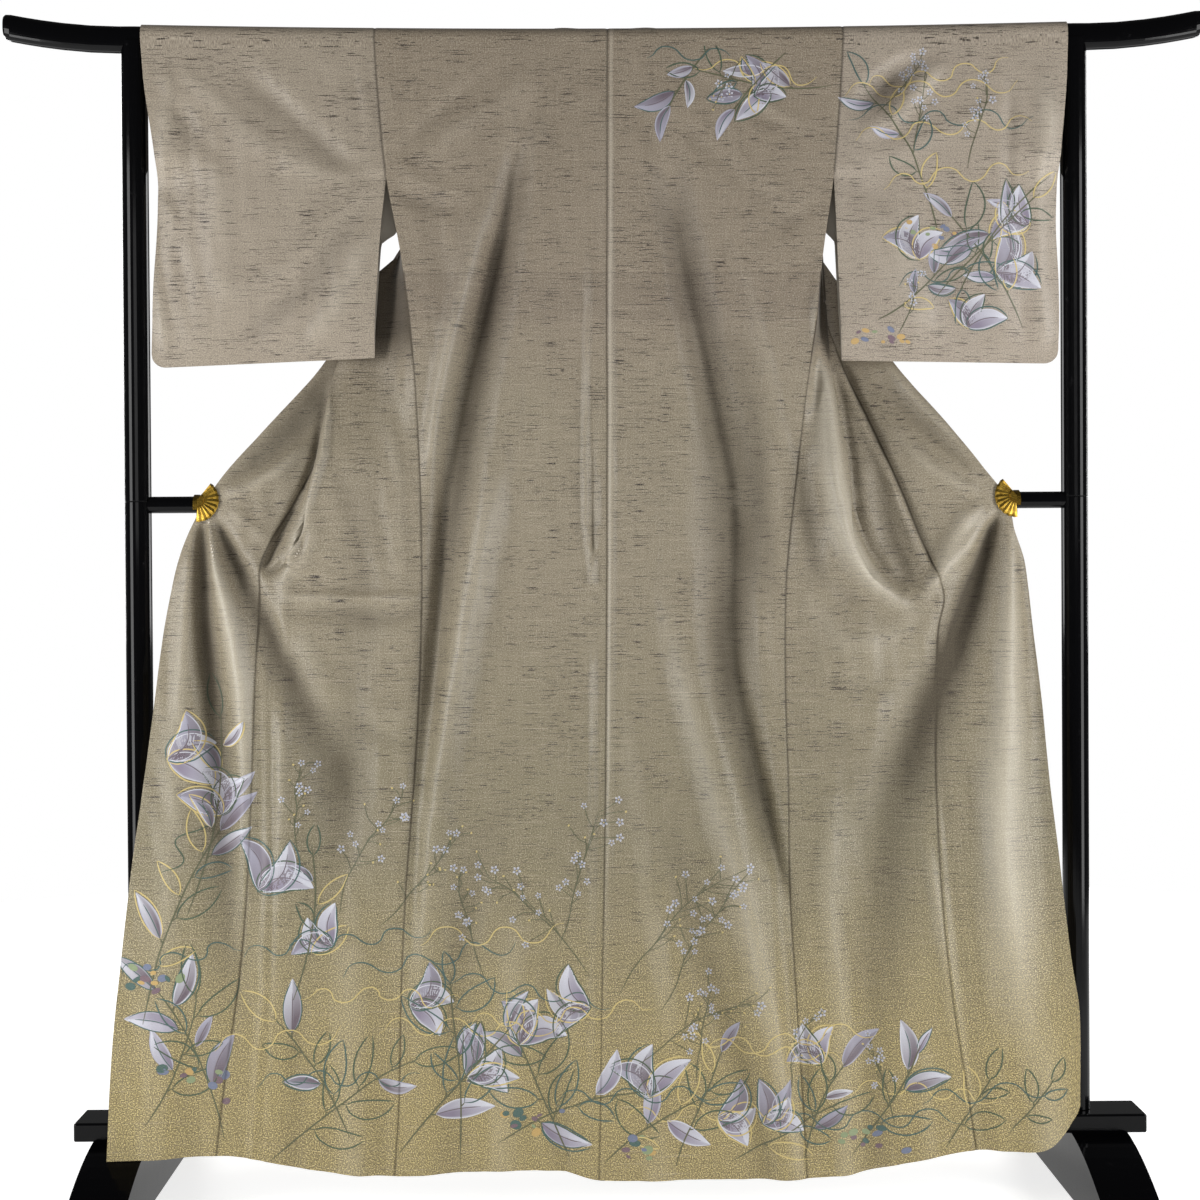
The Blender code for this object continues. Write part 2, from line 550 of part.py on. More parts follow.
def sleeve_section(side, z, layer):
    """Points of one layer of a sleeve at height z, from its inner edge to its outer edge."""
    sewn_edge = z >= SLEEVE_SEAM_Z
    if sewn_edge:
        inner = read(BACK_ROWS, "z", side_name(side, "side_"), z)
    else:
        inner = read(SLEEVE_ROWS, "z", side_name(side, "inner_"), z)
    outer = read(SLEEVE_ROWS, "z", side_name(side, "outer_"), z)
    middle = read(SLEEVE_ROWS, "z", "y", z)
    half_gap = read(SLEEVE_ROWS, "z", "half_gap", z)
    closed = ease((SLEEVE_MOUTH_Z - z) / 0.05)
    least = CLOTH_WALL / 2 + SEAM_GAP / 2
    folds = SLEEVE_FOLDS_LEFT if side == LEFT else SLEEVE_FOLDS_RIGHT
    points = []
    for share in SLEEVE_SHARES:
        x = inner + (outer - inner) * share
        pinch = 1.0 - closed * ease((share - 0.72) / 0.28)
        gap = least + (half_gap - least) * pinch
        y = middle + layer * gap
        sewn = 1.0 - ease(share / 0.30) if sewn_edge else 0.0
        y += (sleeve_layer_y(z, layer) - y) * sewn
        y += (1.0 - sewn) * pinch * min(1.0, (z - SLEEVE_BOTTOM_Z) / 0.04) * 0.8 * fold_depth(folds, z, x)
        rise = corner_rise(outer - x, z)
        points.append(Vector((side * x, y, z + rise)))
    return points


def corner_rise(from_edge, z):
    """The rounded bottom corner of a sleeve."""
    if from_edge >= SLEEVE_CORNER:
        return 0.0
    arc = SLEEVE_CORNER - math.sqrt(max(SLEEVE_CORNER ** 2 - (SLEEVE_CORNER - from_edge) ** 2, 0.0))
    return arc * ease((SLEEVE_BOTTOM_Z + 0.07 - z) / 0.07)


# ---------------------------------------------------------------- cloth walls
class Panel:
    """A grid of points on the middle surface of a piece of cloth, with a normal to its outer face."""

    def __init__(self, name, grid, outward):
        self.name = name
        self.grid = grid
        columns = range(len(grid[0]))
        self.normals = [[self.normal(r, c) * outward for c in columns] for r in range(len(grid))]

    def near(self, r, c):
        inside = 0 <= r < len(self.grid) and 0 <= c < len(self.grid[0])
        return self.grid[r][c] if inside else None

    def normal(self, r, c):
        here = self.grid[r][c]
        if here is None:
            return Vector((0.0, 0.0, 0.0))
        across = (self.near(r, c + 1) or here) - (self.near(r, c - 1) or here)
        along = (self.near(r + 1, c) or here) - (self.near(r - 1, c) or here)
        return across.cross(along).normalized()

    def sew(self, other, seam):
        """Makes both walls stand square to one shared normal along a seam of (row, column) pairs."""
        for (r, c), (other_r, other_c) in seam:
            shared = (self.normals[r][c] + other.normals[other_r][other_c]).normalized()
            self.normals[r][c] = shared
            other.normals[other_r][other_c] = shared

    def open_seam(self, column, inside, first_row=0):
        """Draws an edge column back towards its neighbour by half the gap that seams keep."""
        for row in self.grid[first_row:]:
            if row[column] is None:
                continue
            inward = row[inside] - row[column]
            row[column] = row[column] + inward.normalized() * (SEAM_GAP / 2)

    def solid(self, wall, finish):
        """Gives the surface its wall: an outer skin, an inner skin and a rim along every open edge."""
        shape = bmesh.new()
        skins = []
        for lift in (wall / 2, -wall / 2):
            skin = {}
            for r, row in enumerate(self.grid):
                for c, point in enumerate(row):
                    if point is not None:
                        skin[r, c] = shape.verts.new(point + self.normals[r][c] * lift)
            skins.append(skin)
        outer, inner = skins
        rim = set()
        for r in range(len(self.grid) - 1):
            for c in range(len(self.grid[0]) - 1):
                corners = [(r, c), (r + 1, c), (r + 1, c + 1), (r, c + 1)]
                if any(corner not in outer for corner in corners):
                    continue
                shape.faces.new([outer[corner] for corner in corners])
                shape.faces.new([inner[corner] for corner in reversed(corners)])
                for a, b in zip(corners, corners[1:] + corners[:1]):
                    if (b, a) in rim:
                        rim.remove((b, a))
                    else:
                        rim.add((a, b))
        for a, b in sorted(rim):
            shape.faces.new([outer[b], outer[a], inner[a], inner[b]])
        loose = [vert for vert in shape.verts if not vert.link_faces]
        bmesh.ops.delete(shape, geom=loose, context="VERTS")
        bmesh.ops.triangulate(shape, faces=shape.faces)
        bmesh.ops.recalc_face_normals(shape, faces=shape.faces)
        return add_object(self.name, mesh_from_bmesh(self.name, shape, smooth_angle=60), finish)


def wrap_angles():
    return [180.0 * n / BAR_WRAP_STEPS for n in range(BAR_WRAP_STEPS + 1)]


def body_panel(side):
    """A body strip: rows from the back hem, over the bar, to the front hem; columns from centre to side."""
    last = NECK_COLUMNS + FRONT_COLUMNS
    grid = [back_section(side, z) for z in reversed(SECTION_HEIGHTS)]
    back_top = back_section(side, BAR_Z)
    front_top = [None] * NECK_COLUMNS + front_section(side, BAR_Z)[::-1]
    for angle in wrap_angles():
        row = []
        for c in range(last + 1):
            if c < NECK_COLUMNS:
                row.append(bar_wrap(back_top[c].x, angle) if angle <= 90.0 else None)
            else:
                x = back_top[c].x + (front_top[c].x - back_top[c].x) * angle / 180.0
                row.append(bar_wrap(x, angle))
        grid.append(row)
    for z in SECTION_HEIGHTS:
        grid.append([None] * NECK_COLUMNS + front_section(side, z)[::-1])
    return Panel(side_name(side, "body_"), grid, side)


def okumi_panel(side):
    """An okumi: rows from its top to the hem; columns from the free edge to the seam."""
    grid = [okumi_section(side, z)[::-1] for z in SECTION_HEIGHTS if z <= OKUMI_TOP_Z]
    return Panel(side_name(side, "okumi_"), grid, side)


def sleeve_panel(side):
    """A sleeve: rows from the bottom of its back layer, over the bar, to the bottom of its front layer."""
    heights = [z for z in SECTION_HEIGHTS if z >= SLEEVE_BOTTOM_Z]
    grid = [sleeve_section(side, z, -1) for z in reversed(heights)]
    top = sleeve_section(side, BAR_Z, 1)
    for angle in wrap_angles():
        grid.append([bar_wrap(point.x, angle) for point in top])
    grid += [sleeve_section(side, z, 1) for z in heights]
    return Panel(side_name(side, "sleeve_"), grid, side)


def collar_panel():
    """The collar: rows from its left end, up the left front, round the neck and down to its right end."""
    left = [collar_front_row(LEFT, row) for row in reversed(COLLAR_FRONT)]
    left += [collar_neck_row(LEFT, row) for row in reversed(COLLAR_NECK)]
    right = [collar_neck_row(RIGHT, row) for row in COLLAR_NECK[1:]]
    right += [collar_front_row(RIGHT, row) for row in COLLAR_FRONT]
    return Panel("collar", left + right, 1)


def collar_front_row(side, row):
    on_okumi = row.z <= OKUMI_TOP_Z
    edge = okumi_section(side, row.z)[-1] if on_okumi else front_section(side, row.z)[-1]
    sewn = Vector((edge.x, edge.y + COLLAR_BEHIND, row.z))
    free = sewn + Vector((-side * row.inset, row.behind, -row.drop))
    return [sewn.lerp(free, share) for share in COLLAR_SHARES]


def collar_neck_row(side, row):
    """Collar points over the ridge and down the far side of the bar, just outside the body cloth."""
    quarter = math.pi / 4 * (BAR_HALF_DEPTH + BAR_HALF_HEIGHT)
    points = []
    for share in COLLAR_SHARES:
        x = row.out_x + (row.in_x - row.out_x) * share
        drop = row.out_drop + (row.in_drop - row.out_drop) * share
        further = COLLAR_BEHIND * ease(x / NECK_HALF_WIDTH)
        point = bar_wrap(side * x, 90.0 + 90.0 * min(drop / quarter, 1.0), further)
        past = max(drop - quarter, 0.0)
        points.append(point + Vector((0.0, 0.08 * past, -past)))
    return points


def make_cloth(finish):
    """All the cloth, sewn: seams share their normals and keep their gap."""
    heights = SECTION_HEIGHTS
    side_column = NECK_COLUMNS + FRONT_COLUMNS
    rows = 2 * len(heights) + BAR_WRAP_STEPS + 1
    body = {side: body_panel(side) for side in (LEFT, RIGHT)}
    okumi = {side: okumi_panel(side) for side in (LEFT, RIGHT)}
    sleeve = {side: sleeve_panel(side) for side in (LEFT, RIGHT)}
    ridge_row = len(heights) + BAR_WRAP_STEPS // 2
    body[LEFT].sew(body[RIGHT], [((r, 0), (r, 0)) for r in range(ridge_row + 1)])
    okumi_first = heights.index(OKUMI_TOP_Z)
    front_first = len(heights) + BAR_WRAP_STEPS + 1
    sleeve_rows = sum(1 for z in heights if z >= SLEEVE_BOTTOM_Z)
    armhole_rows = sum(1 for z in heights if z >= SLEEVE_SEAM_Z)
    for side in (LEFT, RIGHT):
        strip = body[side]
        closed = [n for n, z in enumerate(heights) if z <= SIDE_OPENING_Z]
        back_last = len(heights) - 1
        strip.sew(strip, [((back_last - n, side_column), (front_first + n, side_column)) for n in closed])
        strip.sew(okumi[side], [((front_first + okumi_first + n, NECK_COLUMNS), (n, OKUMI_COLUMNS))
                                for n in range(len(heights) - okumi_first)])
        armhole = range(len(heights) - armhole_rows, rows - len(heights) + armhole_rows)
        shift = len(heights) - sleeve_rows
        strip.sew(sleeve[side], [((r, side_column), (r - shift, 0)) for r in armhole])
        strip.open_seam(0, 1)
        strip.open_seam(side_column, side_column - 1)
        strip.open_seam(NECK_COLUMNS, NECK_COLUMNS + 1, front_first + okumi_first)
        okumi[side].open_seam(OKUMI_COLUMNS, OKUMI_COLUMNS - 1)
        sleeve[side].open_seam(0, 1)
    for side in (LEFT, RIGHT):
        body[side].solid(CLOTH_WALL, finish)
        okumi[side].solid(CLOTH_WALL, finish)
        sleeve[side].solid(CLOTH_WALL, finish)
    collar_panel().solid(COLLAR_WALL, finish)


# ---------------------------------------------------------------- stand
def rounded_ring(half_depth, half_height, steps=32):
    """A closed ring of (y, z) points on a rounded rectangle."""
    turns = [squared(2 * math.pi * n / steps) for n in range(steps)]
    return [(across * half_depth, up * half_height) for across, up in turns]


def bar_shape(grow=0.0, stations=None):
    """The top bar: rounded sections along X, rising and closing at both ends."""
    shape = bmesh.new()
    rings = []
    for x, scale in stations or bar_stations():
        past = max(abs(x) - BAR_STRAIGHT_HALF, 0.0) / (BAR_HALF_LENGTH - BAR_STRAIGHT_HALF)
        rise = BAR_END_RISE * past ** 1.8
        ring = rounded_ring(BAR_HALF_DEPTH * scale + grow, BAR_HALF_HEIGHT * scale + grow)
        rings.append([shape.verts.new((x, y, bar_height(x) + rise + z)) for y, z in ring])
    for first, second in zip(rings, rings[1:]):
        for n in range(len(first)):
            after = (n + 1) % len(first)
            shape.faces.new((first[n], first[after], second[after], second[n]))
    shape.faces.new(rings[0])
    shape.faces.new(rings[-1])
    bmesh.ops.recalc_face_normals(shape, faces=shape.faces)
    return shape


def bar_stations():
    """(x, scale) along the bar: long straight middle, curved ends that round off."""
    full = (0.17, 0.34, 0.51, 0.60, POST_X, BAR_STRAIGHT_HALF, 0.74, 0.78, 0.81, 0.835)
    right = [(x, 1.0) for x in full]
    right += [(BAR_HALF_LENGTH - 0.010, 1.0), (BAR_HALF_LENGTH - 0.003, 0.94), (BAR_HALF_LENGTH, 0.78)]
    return [(-x, scale) for x, scale in reversed(right)] + [(0.0, 1.0)] + right


def cylinder(name, radius, start, end, finish, segments=28, bevel=0.0):
    """A round bar from start to end."""
    start, end = Vector(start), Vector(end)
    shape = bmesh.new()
    bmesh.ops.create_cone(shape, cap_ends=True, segments=segments, radius1=radius, radius2=radius,
                          depth=(end - start).length)
    turn = Vector((0, 0, 1)).rotation_difference(end - start).to_matrix()
    bmesh.ops.rotate(shape, cent=(0, 0, 0), matrix=turn, verts=shape.verts)
    bmesh.ops.translate(shape, vec=(start + end) / 2, verts=shape.verts)
    made = add_object(name, mesh_from_bmesh(name, shape, smooth_angle=40), finish)
    if bevel:
        edge = made.modifiers.new("rim", "BEVEL")
        edge.width = bevel
        edge.segments = 2
        edge.limit_method = "ANGLE"
        edge.angle_limit = math.radians(50)
    return made


def cut(target, cutter):
    modifier = target.modifiers.new("cut", "BOOLEAN")
    modifier.operation = "DIFFERENCE"
    modifier.solver = "EXACT"
    modifier.object = cutter


def hide_cutter(cutter):
    for home in list(cutter.users_collection):
        home.objects.unlink(cutter)
    CUTTERS.objects.link(cutter)
    cutter.hide_render = True
    cutter.display_type = "WIRE"
    return cutter


def box(name, low, high, finish, bevel=0.0):
    """A box between two corners, with rounded edges."""
    low, high = Vector(low), Vector(high)
    shape = bmesh.new()
    bmesh.ops.create_cube(shape, size=1.0)
    bmesh.ops.scale(shape, vec=high - low, verts=shape.verts)
    bmesh.ops.translate(shape, vec=(low + high) / 2, verts=shape.verts)
    made = add_object(name, mesh_from_bmesh(name, shape), finish)
    if bevel:
        edge = made.modifiers.new("rounded", "BEVEL")
        edge.width = bevel
        edge.segments = 3
        made.data.shade_smooth()
        made.data.set_sharp_from_angle(angle=math.radians(50))
    return made


def make_frame(lacquer):
    """Top bar, posts, crossbar, base board and feet."""
    add_object("top_bar", mesh_from_bmesh("top_bar", bar_shape(), smooth_angle=50), lacquer)
    bar_reach = [station for station in bar_stations() if abs(station[0]) <= 0.80]
    notch = add_object("bar_notch", mesh_from_bmesh("bar_notch", bar_shape(SEAM_GAP, bar_reach)), None)
    hide_cutter(notch)
    board_top = BOARD_BOTTOM_Z + BOARD_THICKNESS
    crossbar_end = Vector((POST_X, 0, CROSSBAR_Z))
    crossbar_start = Vector((-POST_X, 0, CROSSBAR_Z))
    crossbar = cylinder("crossbar", CROSSBAR_RADIUS, crossbar_start, crossbar_end, lacquer, segments=24)
    for side in (LEFT, RIGHT):
        x = side * POST_X
        name = side_name(side, "post_")
        lower_top = (x, 0, POST_JOINT_Z - SEAM_GAP / 2)
        upper_bottom = (x, 0, POST_JOINT_Z + SEAM_GAP / 2)
        cylinder(name + "_lower", POST_RADIUS, (x, 0, board_top + SEAM_GAP), lower_top, lacquer, bevel=0.0008)
        upper = cylinder(name + "_upper", POST_RADIUS, upper_bottom, (x, 0, POST_TOP_Z), lacquer, bevel=0.0008)
        cut(upper, notch)
        socket = cylinder(name + "_socket", POST_RADIUS + SEAM_GAP, (x, 0, CROSSBAR_Z - 0.05),
                          (x, 0, CROSSBAR_Z + 0.05), None, segments=48)
        cut(crossbar, hide_cutter(socket))
    board_low = (-BOARD_HALF_LENGTH, -BOARD_HALF_DEPTH, BOARD_BOTTOM_Z)
    box("base_board", board_low, (BOARD_HALF_LENGTH, BOARD_HALF_DEPTH, board_top), lacquer, bevel=0.003)
    seat = box("board_seat", Vector(board_low) - Vector((0, 1, 1)) * SEAM_GAP,
               (BOARD_HALF_LENGTH, BOARD_HALF_DEPTH + SEAM_GAP, board_top), None)
    hide_cutter(seat)
    for side in (LEFT, RIGHT):
        cut(foot(side, lacquer), seat)


def foot(side, finish):
    """A foot: a flat-bottomed block along Y with an arched top."""
    peak = BOARD_BOTTOM_Z + FOOT_OVER_BOARD
    outline = bpy.data.curves.new(side_name(side, "foot_outline_"), "CURVE")
    outline.dimensions = "2D"
    outline.fill_mode = "BOTH"
    outline.extrude = FOOT_WIDTH / 2
    points = [(-FOOT_HALF_LENGTH + FOOT_TOE_UNDERCUT, FLOOR_Z)]
    for n in range(FOOT_STEPS + 1):
        y = -FOOT_HALF_LENGTH * math.cos(math.pi * n / FOOT_STEPS)
        arch = max(1.0 - (y / FOOT_HALF_LENGTH) ** 2, 0.0) ** 1.2
        points.append((y, FOOT_TOE_HEIGHT + (peak - FOOT_TOE_HEIGHT) * arch))
    points.append((FOOT_HALF_LENGTH - FOOT_TOE_UNDERCUT, FLOOR_Z))
    spline = outline.splines.new("POLY")
    spline.points.add(len(points) - 1)
    for point, (y, z) in zip(spline.points, points):
        point.co = (y, z, 0.0, 1.0)
    spline.use_cyclic_u = True
    guide = bpy.data.objects.new("foot_guide", outline)
    COLLECTION.objects.link(guide)
    guide.rotation_euler = (math.radians(90), 0.0, math.radians(90))
    guide.location.x = side * (FOOT_INNER_X + FOOT_WIDTH / 2)
    bpy.context.view_layer.update()
    data = bpy.data.meshes.new_from_object(guide.evaluated_get(bpy.context.evaluated_depsgraph_get()))
    name = side_name(side, "foot_")
    shape = bmesh.new()
    shape.from_mesh(data)
    bmesh.ops.remove_doubles(shape, verts=shape.verts, dist=0.00005)
    made = add_object(name, mesh_from_bmesh(name, shape, smooth_angle=50), finish)
    made.matrix_world = guide.matrix_world.copy()
    bpy.data.objects.remove(guide, do_unlink=True)
    return made


# ---------------------------------------------------------------- clips
def make_clip(side, gold):
    """A fan-shaped clip: a pleated fan in front of the cloth, on a spring jaw that grips the crossbar."""
    steps = 2 * FAN_RIBS
    # radius, wall and height of the pleats' ridges, from the pivot to the rim
    rings = (
        (0.0, HUB_WALL, 0.0),
        (HUB_RADIUS, HUB_WALL, 0.0),
        (HUB_RADIUS + 0.0006, FAN_WALL, 0.0),
        (FAN_RADIUS - 0.0025, FAN_WALL, 0.0010),
        (FAN_RADIUS, FAN_WALL - 0.0005, 0.0006),
    )
    shape = bmesh.new()
    fronts, backs = [], []
    for radius, wall, ridge in rings:
        front, back = [], []
        for n in range(steps + 1):
            turn = math.radians(FAN_FROM + (FAN_TO - FAN_FROM) * n / steps)
            raised = ridge * (n % 2)
            reach = radius + (PLEAT_TIP * (n % 2) if radius == FAN_RADIUS else 0.0)
            x = side * (CLIP_X - reach * math.cos(turn))
            z = CLIP_Z + reach * math.sin(turn)
            front.append(shape.verts.new((x, FAN_BACK_Y - wall - raised, z)))
            back.append(shape.verts.new((x, FAN_BACK_Y, z)))
        fronts.append(front)
        backs.append(back)
    for skin in (fronts, backs):
        for inner, outer in zip(skin, skin[1:]):
            for n in range(steps):
                shape.faces.new((inner[n], inner[n + 1], outer[n + 1], outer[n]))
    for n in range(steps):
        shape.faces.new((fronts[-1][n], fronts[-1][n + 1], backs[-1][n + 1], backs[-1][n]))
    for n in (0, steps):
        for k in range(len(rings) - 1):
            shape.faces.new((fronts[k][n], fronts[k + 1][n], backs[k + 1][n], backs[k][n]))
    bmesh.ops.remove_doubles(shape, verts=shape.verts, dist=0.00005)
    bmesh.ops.recalc_face_normals(shape, faces=shape.faces)
    name = side_name(side, "clip_")
    add_object(name + "_fan", mesh_from_bmesh(name + "_fan", shape, smooth_angle=25), gold)
    make_jaw(name + "_jaw", side, gold)


def make_jaw(name, side, gold):
    """The clip's spring: a strip bent over the crossbar, beside the cloth."""
    front_y = FAN_BACK_Y + JAW_WALL / 2 + SEAM_GAP
    middle_y = (front_y + JAW_REACH) / 2
    half_span = (JAW_REACH - front_y) / 2
    path = [(front_y, CROSSBAR_Z - 0.008), (front_y, CROSSBAR_Z)]
    for degrees in range(20, 181, 20):
        turn = math.radians(degrees)
        path.append((middle_y - half_span * math.cos(turn), CROSSBAR_Z + JAW_REACH * math.sin(turn)))
    path.append((JAW_REACH, CROSSBAR_Z - 0.009))
    shape = bmesh.new()
    low_x = side * (CLIP_X + JAW_OFFSET) - JAW_WIDTH / 2
    high_x = low_x + JAW_WIDTH
    rings = []
    for n, (y, z) in enumerate(path):
        before = Vector(path[max(n - 1, 0)])
        after = Vector(path[min(n + 1, len(path) - 1)])
        along = (after - before).normalized()
        normal = Vector((-along.y, along.x)) * (JAW_WALL / 2)
        ring = []
        for x, flip in ((low_x, 1), (low_x, -1), (high_x, -1), (high_x, 1)):
            ring.append(shape.verts.new((x, y + normal.x * flip, z + normal.y * flip)))
        rings.append(ring)
    for first, second in zip(rings, rings[1:]):
        for n in range(4):
            after = (n + 1) % 4
            shape.faces.new((first[n], first[after], second[after], second[n]))
    shape.faces.new(rings[0])
    shape.faces.new(rings[-1])
    bmesh.ops.recalc_face_normals(shape, faces=shape.faces)
    add_object(name, mesh_from_bmesh(name, shape, smooth_angle=40), gold)


# ---------------------------------------------------------------- the object
def main():
    clear_scene()
    bpy.context.scene.collection.children.link(COLLECTION)
    bpy.context.scene.collection.children.link(CUTTERS)
    silk = material("silk", (0.62, 0.57, 0.47), 0.55)
    lacquer = material("lacquer", (0.008, 0.007, 0.010), 0.12)
    gold = material("gold", (0.80, 0.62, 0.28), 0.30, 1.0)
    make_frame(lacquer)
    make_cloth(silk)
    for side in (LEFT, RIGHT):
        make_clip(side, gold)


main()
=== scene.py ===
"""Looks of a silk kimono hung open over a lacquered kimono stand.

The cloth is rebuilt as thin shells on the same seam lines and folds as the CAD solids, with finer creases,
a lining inside and a painted design laid on it. The stand and its clips keep their CAD solids and get
lacquer and gilt finishes. Lengths are in metres unless a comment says otherwise.
"""
import math
from collections import namedtuple

import bpy
import numpy as np
from mathutils import Matrix, Vector


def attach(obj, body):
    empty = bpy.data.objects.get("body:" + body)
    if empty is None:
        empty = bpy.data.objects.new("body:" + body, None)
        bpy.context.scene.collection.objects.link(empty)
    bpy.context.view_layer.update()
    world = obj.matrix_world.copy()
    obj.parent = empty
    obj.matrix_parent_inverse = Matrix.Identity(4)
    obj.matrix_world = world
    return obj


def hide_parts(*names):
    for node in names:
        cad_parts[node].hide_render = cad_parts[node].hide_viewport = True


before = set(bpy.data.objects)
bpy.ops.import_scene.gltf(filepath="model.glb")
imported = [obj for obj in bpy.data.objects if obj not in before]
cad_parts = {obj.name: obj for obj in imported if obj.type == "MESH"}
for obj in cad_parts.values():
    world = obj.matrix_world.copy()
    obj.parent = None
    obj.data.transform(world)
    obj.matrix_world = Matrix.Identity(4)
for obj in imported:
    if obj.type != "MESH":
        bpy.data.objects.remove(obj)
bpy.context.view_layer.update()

# ---------------------------------------------------------------- the cloth's seam lines and folds
LEFT, RIGHT = -1, 1
BAR_HALF_HEIGHT, BAR_HALF_DEPTH = 0.019, 0.015
BAR_Z, BAR_SAG = 1.674, 0.008           # the bar's height at the posts, and how far its middle lies below
BAR_SQUARENESS = 2.3
BAR_FREE = 0.00195                      # from the bar to the cloth's middle surface
POST_X, SHOULDER_X, NECK_HALF_WIDTH = 0.678, 0.332, 0.090
STRIP_WIDTH, STRIP_LENGTH, SLEEVE_LENGTH = 0.333, 3.295, 0.979
SIDE_OPENING_FALL, SIDE_OPENING_HALF = 1.36, 0.07       # the open length of the side, above the hem
OKUMI_WIDTH, SLEEVE_WIDTH, COLLAR_WIDTH = 0.155, 0.335, 0.062
SLEEVE_SEAM_Z, FAR_SEAM_Z, SIDE_OPENING_Z, OKUMI_TOP_Z = 1.475, 1.400, 1.330, 1.440
SLEEVE_BOTTOM_Z, SLEEVE_MOUTH_Z, SLEEVE_CORNER = 1.200, 1.506, 0.020
SLEEVE_RISE = {LEFT: 0.013, RIGHT: 0.006}       # how far the inner end of a sleeve's bottom is lifted
HEM_Z, HEM_FADE = 0.045, 0.42
COLLAR_BEHIND = 0.0026
COLLAR_SHARES = np.array([0.0, 0.12, 0.24, 0.36, 0.48, 0.74, 1.0])
SHELL, COLLAR_WALL, SEAM_GAP = 0.0010, 0.0016, 0.0003
WRAP_STEPS = 20                         # rows of points round the bar, and the degrees round it of each
TURNS = np.linspace(0.0, 180.0, WRAP_STEPS + 1)[:, None]
BACK_TOP = 1.658                        # where the flat cloth starts below the bar
BAR_RUN = 0.055                         # cloth length round the bar
FOLD_SHADE_DEPTH = 0.028                      # the crease depth at which the painted fold shade is darkest
DEEPEST = 0.014                         # the depth at which a crease's trough levels out
# how much shade is painted into a seam's dip, and the dip's depth and width
SEAM_SHADE_PAINT, SEAM_DEEP, SEAM_WIDE = 0.80, 0.0008, 0.0017
BEND_WEIGHT = 0.007                     # how much closer points lie where the cloth bends
CLIP_X, CROSSBAR_Z, CROSSBAR_FRONT = 0.589, 1.010, -0.0125
CREASE_REACH = 2.6                      # how many half widths from its line a crease still counts
RELIEF_TOP = 1.655                      # creases fade out towards the bar


def numbers(text, width):
    """Rows of so many numbers; commas and line ends part the rows."""
    return np.array(text.replace(",", " ").split(), float).reshape(-1, width)


class Table:
    """Rows of numbers, read as smooth curves along their first column. Text is in mm, or thousandths."""

    def __init__(self, names, rows):
        values = numbers(rows, len(names.split())) / 1000.0 if isinstance(rows, str) else np.array(rows)
        if values[0, 0] > values[-1, 0]:
            values = values[::-1]
        self.keys = values[:, 0]
        self.columns = dict(zip(names.split(), values.T))

    def read(self, name, place):
        keys, values = self.keys, self.columns[name]
        ahead = np.minimum(np.arange(len(keys)) + 1, len(keys) - 1)
        back = np.maximum(np.arange(len(keys)) - 1, 0)
        slopes = (values[ahead] - values[back]) / (keys[ahead] - keys[back])
        place = np.clip(place, keys[0], keys[-1])
        i = np.clip(np.searchsorted(keys, place, side="right") - 1, 0, len(keys) - 2)
        step = keys[i + 1] - keys[i]
        t = (place - keys[i]) / step
        level = values[i] * (1 + 2 * t) * (1 - t) ** 2 + values[i + 1] * t * t * (3 - 2 * t)
        return level + step * (slopes[i] * t * (1 - t) ** 2 + slopes[i + 1] * t * t * (t - 1))


class Fold:
    """A long soft fold down the cloth: z, x from the middle, depth towards +Y and half width, in mm."""

    def __init__(self, rows):
        self.table = Table("z x depth half", rows)

    def push(self, z, x):
        inside = (z >= self.table.keys[0]) & (z <= self.table.keys[-1])
        away = (x - self.table.read("x", z)) / self.table.read("half", z)
        return inside * self.table.read("depth", z) * np.exp(-away * away)


def folds(text):
    return [Fold(rows) for rows in text.split(";")]


def creases(text):
    """Creases, parted by semicolons: points of x, z, height and half width along each, in mm."""
    return [numbers(points, 4) / 1000.0 for points in text.split(";")]


